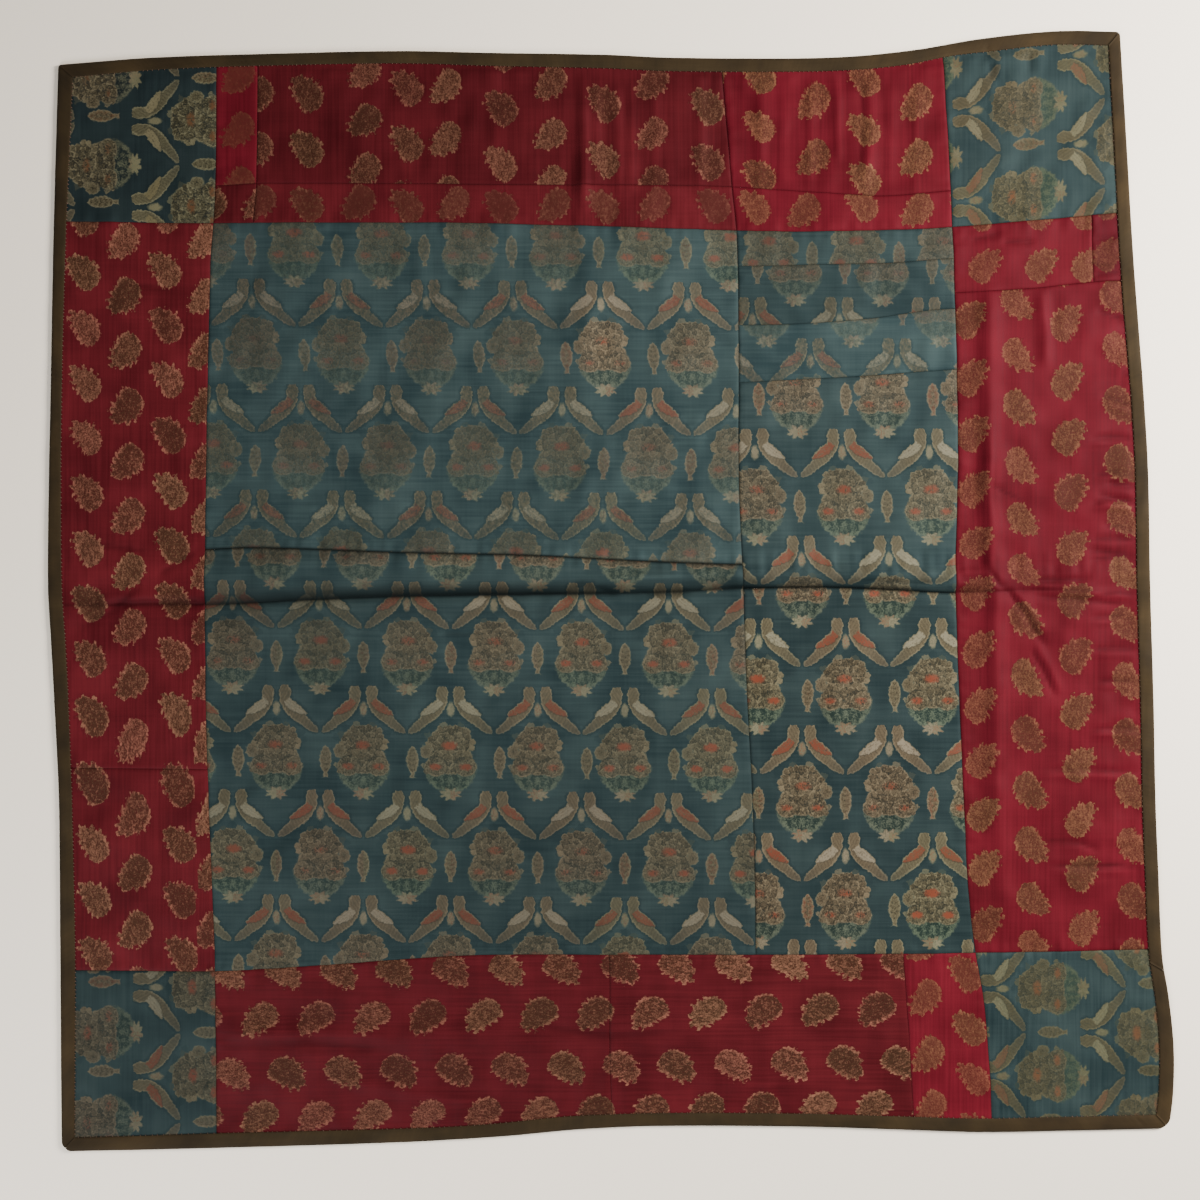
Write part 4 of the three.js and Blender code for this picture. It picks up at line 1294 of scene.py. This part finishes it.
def make_brocade(name, ground, deep, figures, figure_colours, streak, lustre, slot=None):
    """A silk brocade: a ground of two close colours, and figures woven over it. On its
    reverse the figures show only as a dull mix of floats."""
    finish, tree, shader, cloth, tone = start_finish(name)
    threads = place_group(tree, THREADS, {"Cloth": cloth, "Streak": streak})
    shade = Reading(tree, threads.outputs["Shade"])
    cloud = Reading(tree, threads.outputs["Cloud"])
    base = mixed(tree, deep, ground, (shade.line(1.1, -0.05) + cloud.line(1.6, -0.8)))
    motif = place_group(tree, figures, {"Repeats": read_map(tree, "Figures"),
                                        "Worn": read_number(tree, "worn"), **figure_colours})
    base = mixed(tree, base, deep, Reading(tree, motif.outputs["Halo"]) * 0.9)
    back = read_number(tree, "reverse")
    cover = Reading(tree, motif.outputs["Cover"])
    result = mixed(tree, base, motif.outputs["Color"], cover * back.line(-0.6, 1.0) + back * 0.1)
    # The tone darkens the colour by the piece's own tone and by the painted shade and highlights that
    # make_panel puts in it
    result = mixed(tree, result, joined(tree, tone, tone, tone), 1.0, "MULTIPLY")
    roughness = shade.line(0.2, 0.52) + cover * 0.06
    finish_surface(tree, shader, result, roughness, threads.outputs["Height"], 0.00012)
    shader.inputs["Sheen Weight"].default_value = 0.015
    shader.inputs["Sheen Roughness"].default_value = 0.4
    put(tree, shader.inputs["Sheen Tint"], lustre)
    shader.inputs["Specular IOR Level"].default_value = 0.1
    put(tree, shader.inputs["Specular Tint"], lustre)
    return finish, slot or name


def make_tape_finish(name, ground, deep):
    """Plain olive tape, a little uneven in colour."""
    finish, tree, shader, cloth, tone = start_finish(name)
    threads = place_group(tree, THREADS, {"Cloth": cloth, "Streak": 0.5})
    shade = Reading(tree, threads.outputs["Shade"])
    cloud = Reading(tree, threads.outputs["Cloud"])
    blotch = cloudy(tree, cloth, 90.0, 3.0, 0.6)
    base = mixed(tree, deep, ground, shade.line(1.2, -0.1) + blotch.line(0.8, -0.4))
    result = mixed(tree, base, joined(tree, tone, tone, tone), 1.0, "MULTIPLY")
    finish_surface(tree, shader, result, cloud.line(0.2, 0.68), threads.outputs["Height"], 0.00015)
    shader.inputs["Sheen Weight"].default_value = 0.03
    shader.inputs["Sheen Roughness"].default_value = 0.5
    shader.inputs["Specular IOR Level"].default_value = 0.1
    return finish, name


def make_plain(name, colour, roughness):
    """A finish with only a slight change of shade over it."""
    finish = bpy.data.materials.new(name)
    finish.use_nodes = True
    tree = finish.node_tree
    shader = tree.nodes["Principled BSDF"]
    place = tree.nodes.new("ShaderNodeTexCoord")
    cloud = cloudy(tree, place.outputs["Object"], 3.0, 4.0, 0.6)
    darker = tuple(level * 0.965 for level in colour)
    put(tree, shader.inputs["Base Color"], mixed(tree, darker, colour, cloud))
    put(tree, shader.inputs["Roughness"], roughness)
    return finish


# Where the sprigs lie: rows of (number of the column, its place, or its places at its first
# and last sprig, the places of its sprigs along it). Even columns lean one way, odd the other.
TOP_SPRIGS = [
    (1, -242, [419, 373]),
    (2, -194, [437, 398, 357]),
    (3, -159, [424, 378]),
    (4, -127, [426, 383]),
    (5, -81, [452, 407, 361]),
    (6, -40, [429, 385, 349]),
    (7, 4, [411, 364]),
    (8, 44, [429, 386, 347]),
    (9, 90, [408, 362]),
]
TOP_RIGHT_SPRIGS = [
    (11, 133, [432, 392, 351]),
    (12, 178, [414, 367]),
    (13, 220, [430, 389, 348]),
    (14, 263, [413, 367]),
]
STRIP_SPRIGS = [
    (0, -281, [373, 330, 286]),
    (1, -242, [370, 327, 284]),
    (2, -199, [373, 330, 286]),
    (3, -159, [369, 326, 283]),
    (4, -120, [372, 329, 286]),
    (5, -81, [369, 325, 282]),
    (6, -37, [371, 328, 285]),
    (7, 4, [369, 325, 282]),
    (8, 46, [371, 328, 285]),
    (9, 95, [369, 326, 283]),
]
STRIP_RIGHT_SPRIGS = [
    (11, 129, [369, 325, 282]),
    (12, 170, [366, 323, 280]),
    (13, 218, [370, 327, 284]),
    (14, 264, [367, 324, 281]),
]
RIGHT_SPRIGS = [
    (0, (305, 319), [232, 183, 137, 91, 46, 7, -42, -88, -134, -178, -222, -269]),
    (1, (344, 359), [247, 203, 161, 111, 67, 25, -14, -65, -110, -158, -202, -249, -285]),
    (2, (385, 400), [229, 181, 134, 89, 42, 0, -47, -93, -137, -183, -227, -272]),
    (3, (427, 442), [251, 208, 163, 113, 68, 22, -18, -67, -113, -158, -203, -249]),
]
HEAD_SPRIGS = [
    (0, 318, [320, 276, 233]),
    (2, 365, [320, 277, 234]),
    (4, 403, [320, 277, 234]),
]
NARROW_SPRIGS = [
    (0, 421, [329, 286, 242]),
]
LEFT_SPRIGS = [
    (1, (-428, -417), [316, 271, 225, 179, 134, 88, 42, -3, -49, -95, -154, -203, -249, -294]),
    (2, (-394, -384), [298, 252, 207, 161, 115, 70, 24, -22, -67, -113, -181, -225, -273]),
    (3, (-361, -345), [319, 273, 227, 182, 136, 90, 45, -1, -46, -92, -157, -203, -249, -294]),
    (4, (-328, -321), [298, 252, 207, 161, 115, 70, 24, -22, -67, -113, -181, -225, -273]),
]
BOTTOM_SPRIGS = [
    (4, (-309, -300), [-310, -263, -217, -171, -124, -78, -33, 17, 63, 110, 157, 203, 247]),
    (3, (-347, -338), [-328, -281, -235, -188, -142, -96, -50, -3, 41, 90, 136, 183, 230]),
    (2, (-392, -382), [-305, -260, -213, -167, -121, -75, -28, 17, 63, 110, 157, 203, 247]),
    (1, (-429, -419), [-328, -281, -235, -188, -142, -96, -50, -3, 42, 89, 134, 181, 228]),
]
BOTTOM_RIGHT_SPRIGS = [
    (0, (268, 275), [-284, -328, -376, -420]),
    (1, (304, 314), [-310, -357, -397, -440]),
]
TOP_END_SPRIG = [(0, -299, [435, 390, 345])]


def sprigs(columns, turned=False, way=1):
    """The red brocade's repeats for one piece, each face by its nearest column. way is -1
    where the cloth was cut the other way up."""
    def repeats(x, y):
        across, along = (y, x) if turned else (x, -y)
        middle = across.mean(axis=1, keepdims=True)
        height = along.mean(axis=1, keepdims=True)
        nearest = np.full(middle.shape, 1e9)
        u = np.zeros(x.shape)
        v = np.zeros(x.shape)
        for number, ends, places in columns:
            first, last = np.broadcast_to(ends, 2)
            at = np.array(places, float) * (1 if turned else -1)
            slope = (last - first) / (at[-1] - at[0])
            away = np.abs(middle - first - slope * (height - at[0]))
            place = np.interp(along, at, np.arange(len(at)))
            place += np.minimum(along - at[0], 0) / SPRIG_ALONG
            place += np.maximum(along - at[-1], 0) / SPRIG_ALONG
            aside = number + (across - first - slope * (along - at[0])) / SPRIG_ACROSS
            closer = away < nearest
            u = np.where(closer, aside, u)
            v = np.where(closer, place, v)
            nearest = np.minimum(nearest, away)
        return way * u, way * v
    return repeats, turned


def birds(at_x, at_y, across=72.2, down=87.6, tilt=0.0, lean=0.0, turned=False, wander=None):
    """The blue brocade's repeats for one piece, counted from a red pair of birds. tilt lets
    the rows fall to one side, lean lets the columns run aslant, and wander bends them."""
    def repeats(x, y):
        if turned:
            return (y - at_y - lean * (x - at_x)) / across, (x - at_x) / down
        aside = wander(y) if wander else 0
        u = (x - at_x - aside - lean * (y - at_y)) / across
        v = (at_y - tilt * (x - at_x) - y) / down
        return u, v
    return repeats, turned


def faded(base, *spots):
    """A tone with softer and stronger places: rows of (x, y, reach, change)."""
    def tone(x, y):
        total = np.full(x.shape, float(base))
        for spot_x, spot_y, reach, change in spots:
            total += change * np.exp(-((x - spot_x) ** 2 + (y - spot_y) ** 2) / reach ** 2)
        return total
    return tone


BLUE_GROUND = ((0.0210, 0.0325, 0.0320), (0.0082, 0.0152, 0.0166))
BLUE_LUSTRE = (0.6, 0.85, 0.85)
blue = make_brocade(
    "blue_brocade", *BLUE_GROUND, BIRDS, BIRD_THREADS, streak=0.2, lustre=BLUE_LUSTRE)
gilded = make_brocade(
    "gilded_blue_brocade", *BLUE_GROUND, BIRDS, GILT_THREADS, streak=0.2, lustre=BLUE_LUSTRE,
    slot="blue_brocade")
navy = make_brocade(
    "navy_brocade", (0.0125, 0.019, 0.019), (0.0065, 0.0105, 0.0112), BIRDS,
    GOLD_THREADS, streak=0.2, lustre=(0.7, 0.85, 0.9))
crimson = make_brocade(
    "crimson_brocade", (0.085, 0.0086, 0.0118), (0.045, 0.0042, 0.0060), SPRIGS,
    CRIMSON_THREADS, streak=0.75, lustre=(1.0, 0.3, 0.36))
rose = make_brocade(
    "rose_brocade", (0.080, 0.0055, 0.0100), (0.047, 0.0030, 0.0055), SPRIGS,
    ROSE_THREADS, streak=0.75, lustre=(1.0, 0.28, 0.36))
tape = make_tape_finish("olive_tape", (0.0235, 0.0145, 0.0052), (0.0165, 0.0100, 0.0034))
thread = make_plain("stitch_thread", (0.085, 0.04, 0.022), 0.7)
floor_finish = make_plain("pale_floor", (0.89, 0.79, 0.655), 0.7)

# The blue field: two large pieces, and on the right three strips over two larger pieces
make_panel("field_left_upper", blue, (left_seam, field_seam, upper_roll_seam, top_seam),
           tone=1.27,
           worn=faded(0.72, (90, 200, 110, -0.3), (-2, 248, 20, -0.2),
                      (0, 212, 25, -0.4), (0, 180, 18, -0.2)),
           figures=birds(-104, 173, down=87.5, tilt=0.009,
                         wander=line_through([[40, -1], [88, -2], [173, 0.4], [260, -4.5], [320, -6]])))
make_panel("field_left_lower", blue, (left_seam, field_seam, bottom_seam, upper_roll_seam),
           tone=faded(0.98, (-100, -20, 120, 0.14), (-40, -250, 160, -0.14)),
           worn=faded(0.35, (-230, 0, 90, 0.25)),
           figures=birds(-15.5, 9.9, down=86.7, tilt=0.008))
make_panel("field_right_strip_first", blue, (field_seam, right_seam, first_strip_seam, top_seam),
           tone=0.96, worn=0.55, figures=birds(139.5, 342.8))
make_panel("field_right_strip_second", blue,
           (field_seam, right_seam, second_strip_seam, first_strip_seam), tone=0.92, worn=0.55,
           figures=birds(126, 246.5))
make_panel("field_right_strip_third", blue,
           (field_seam, right_seam, third_strip_seam, second_strip_seam), tone=1.3, worn=0.75,
           figures=birds(174, 212.5))
make_panel("field_right_middle", blue, (field_seam, right_seam, fold_line, third_strip_seam),
           tone=0.97, worn=0.25, figures=birds(200, 137.4, down=88.8, lean=-0.03))
make_panel("field_right_lower", blue, (field_seam, right_seam, bottom_seam, fold_line), tone=0.8,
           worn=0, figures=birds(239.6, 69.3, down=88.8))

# The corner squares, their cloth turned a quarter turn
make_panel("corner_top_left", navy, (left_edge, left_seam, top_seam, top_edge), tone=1.0, worn=0,
           figures=birds(-383.5, 325.4, 71.4, 86.7, turned=True))
make_panel("corner_top_right", gilded, (right_seam, right_edge, top_seam, top_edge), tone=0.82,
           worn=0.3, figures=birds(383.5, 450.7, 74.3, 86.7, lean=0.11, turned=True))
make_panel("corner_bottom_left", blue, (left_edge, left_seam, bottom_edge, bottom_seam),
           tone=0.76, worn=0.35, figures=birds(-382.6, -395, 73.9, 87.2, turned=True))
make_panel("corner_bottom_right", gilded, (right_seam, right_edge, bottom_edge, bottom_seam),
           tone=0.98, worn=0.45, figures=birds(319.6, -394.3, 72.2, 82.6, turned=True))

# The top border, with the bright patch and the dark one at its left end
make_panel("top_end_patch", rose, (left_seam, patch_seam, strip_seam, top_edge), tone=1.08,
           worn=0.9, figures=sprigs(TOP_END_SPRIG))
make_panel("top_small_patch", crimson, (left_seam, patch_seam, top_seam, strip_seam), tone=0.7,
           worn=0.2, figures=sprigs(STRIP_SPRIGS))
make_panel("top_border_main", crimson, (patch_seam, field_seam, strip_seam, top_edge), tone=0.66,
           worn=0.3, figures=sprigs(TOP_SPRIGS))
make_panel("top_border_strip", crimson, (patch_seam, field_seam, top_seam, strip_seam), tone=0.84,
           worn=0.8, figures=sprigs(STRIP_SPRIGS))
make_panel("top_border_right", rose, (field_seam, right_seam, strip_seam, top_edge), tone=0.92,
           worn=0.15, figures=sprigs(TOP_RIGHT_SPRIGS))
make_panel("top_border_right_strip", rose, (field_seam, right_seam, top_seam, strip_seam),
           tone=1.0, worn=0.45, figures=sprigs(STRIP_RIGHT_SPRIGS))

# The side borders
make_panel("left_border_upper", crimson, (left_edge, left_seam, cross_seam, top_seam), tone=0.93,
           worn=0.2, figures=sprigs(LEFT_SPRIGS))
make_panel("left_border_lower", crimson, (left_edge, left_seam, bottom_seam, cross_seam),
           tone=0.86, worn=0.2, figures=sprigs(LEFT_SPRIGS))
make_panel("right_border_head", rose, (right_seam, narrow_seam, head_seam, top_seam), tone=0.88,
           worn=0.5, figures=sprigs(HEAD_SPRIGS, way=-1))
make_panel("right_border_narrow", rose, (narrow_seam, right_edge, head_seam, top_seam), tone=0.62,
           worn=0.5, figures=sprigs(NARROW_SPRIGS, way=-1))
make_panel("right_border_main", rose, (right_seam, right_edge, bottom_seam, head_seam),
           tone=faded(0.94, (400, 120, 200, -0.14)), worn=0.35,
           figures=sprigs(RIGHT_SPRIGS, way=-1))

# The bottom border, its two long pieces turned a quarter turn
make_panel("bottom_border_left", crimson, (left_seam, centre_line, bottom_edge, bottom_seam),
           tone=0.69, worn=0.2, figures=sprigs(BOTTOM_SPRIGS, turned=True))
make_panel("bottom_border_middle", crimson, (centre_line, lower_seam, bottom_edge, bottom_seam),
           tone=0.75, worn=0, figures=sprigs(BOTTOM_SPRIGS, turned=True))
make_panel("bottom_border_right", rose, (lower_seam, right_seam, bottom_edge, bottom_seam),
           tone=1.16, worn=0.5, figures=sprigs(BOTTOM_RIGHT_SPRIGS))

# The binding: mitred at the corners and joined on a slant low on the right side
make_tape("binding_top", "top", mitre("top", "left"), mitre("top", "right"), tape)
make_tape("binding_bottom", "bottom", mitre("bottom", "left"), mitre("bottom", "right"), tape)
make_tape("binding_left", "left", mitre("left", "bottom"), mitre("left", "top"), tape)
make_tape("binding_right_lower", "right", mitre("right", "bottom"),
          [at - MITRE_GAP for at in SLANT_JOIN], tape)
make_tape("binding_right_upper", "right", [at + MITRE_GAP for at in SLANT_JOIN],
          mitre("right", "top"), tape)


def model_stitch():
    """One small stitch, long across the binding's rim and sunk at both ends."""
    bpy.ops.object.select_all(action="DESELECT")
    bpy.ops.mesh.primitive_uv_sphere_add(segments=6, ring_count=4, radius=1.0)
    stitch = bpy.context.object
    bpy.ops.transform.resize(value=(1.0, 0.26, 0.3))
    bpy.ops.object.transform_apply(location=False, rotation=False, scale=True)
    shape = np.array([vertex.co for vertex in stitch.data.vertices])
    shape[:, 2] -= 0.35 * shape[:, 0] ** 2
    faces = [list(face.vertices) for face in stitch.data.polygons]
    bpy.data.objects.remove(stitch)
    return shape, faces


# The stitches, in millimetres: how far the row stays from a corner, how high they lie, how far
# their middle is past the rim and how much higher they are at the tape's end
STITCHES_FROM_CORNER = 3
STITCH_HEIGHT = 2.5
STITCH_PAST_RIM = 0.25
STITCH_CLIMB = 0.42


def sew_rim(side, apart, size, seed):
    """A row of stitches along the binding's inner rim, a little uneven as by hand."""
    shape, faces = STITCH
    chosen = np.random.default_rng(seed)
    low, high = {"left": ("bottom", "top"), "right": ("bottom", "top"),
                 "top": ("left", "right"), "bottom": ("left", "right")}[side]
    at = mitre(side, low)[1] + STITCHES_FROM_CORNER
    end = mitre(side, high)[1] - STITCHES_FROM_CORNER
    points = []
    quads = []
    while at < end:
        width = float(TAPE_WIDTHS[side](at))
        slant = 0.5 + 0.25 * chosen.standard_normal()
        long = size * (0.85 + 0.3 * chosen.random())
        across = TAPE_EDGES[side](at) + TAPE_INWARD[side] * (width + STITCH_PAST_RIM)
        out = -TAPE_INWARD[side] * (shape[:, 0] * long - shape[:, 1] * slant)
        along = at + shape[:, 1] + shape[:, 0] * long * slant
        height = STITCH_HEIGHT + shape[:, 2] + shape[:, 0] * STITCH_CLIMB
        x, y = (across + out, along) if side in ("left", "right") else (along, across + out)
        quads += [[corner + len(points) * len(shape) for corner in face] for face in faces]
        points.append(in_metres(x, y, height))
        at += apart * (0.75 + 0.5 * chosen.random())
    mesh = bpy.data.meshes.new("rim_stitches_" + side)
    mesh.from_pydata(np.concatenate(points).tolist(), [], quads)
    piece = put_in_scene(mesh.name, mesh)
    mesh.materials.append(thread)
    shell = bmesh.new()
    shell.from_mesh(mesh)
    bmesh.ops.recalc_face_normals(shell, faces=shell.faces)
    shell.to_mesh(mesh)
    shell.free()
    mesh.shade_smooth()
    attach(piece, "root")


STITCH = model_stitch()
sew_rim("left", apart=3.6, size=0.6, seed=11)
sew_rim("top", apart=4.4, size=0.42, seed=12)
sew_rim("right", apart=4.6, size=0.42, seed=13)
sew_rim("bottom", apart=4.8, size=0.42, seed=14)

# A plain pale floor, soft light from the upper right, and the camera straight above
bpy.ops.object.select_all(action="DESELECT")
bpy.ops.mesh.primitive_plane_add(size=8, location=(0, 0, -0.0001))
floor = bpy.context.object
floor.name = "floor"
floor.data.materials.append(floor_finish)


def hang_light(name, place, size, energy, tint):
    """A soft square light that faces the middle of the cloth."""
    light = bpy.data.lights.new(name, "AREA")
    light.shape = "SQUARE"
    light.size = size
    light.energy = energy
    light.color = tint
    lamp = put_in_scene(name, light)
    lamp.location = place
    lamp.rotation_euler = Vector(place).to_track_quat("Z", "Y").to_euler()


hang_light("key_light", (1.15, 0.36, 0.8), 0.6, 70, (1.0, 0.975, 0.94))
hang_light("fill_light", (-0.8, -1.3, 1.0), 0.8, 36, (0.96, 0.98, 1.0))

surround = bpy.data.worlds.new("soft_surround")
surround.use_nodes = True
background = surround.node_tree.nodes["Background"]
background.inputs["Color"].default_value = (0.93, 0.96, 1.0, 1.0)
background.inputs["Strength"].default_value = 0.28
bpy.context.scene.world = surround

CAMERA_HEIGHT = 1.3
lens = bpy.data.cameras.new("camera")
lens.sensor_width = 36
lens.lens = 47.0
camera = put_in_scene("camera", lens)
camera.location = (-DRAWING_MIDDLE[0] * MM, -DRAWING_MIDDLE[1] * MM, CAMERA_HEIGHT)
bpy.context.scene.camera = camera
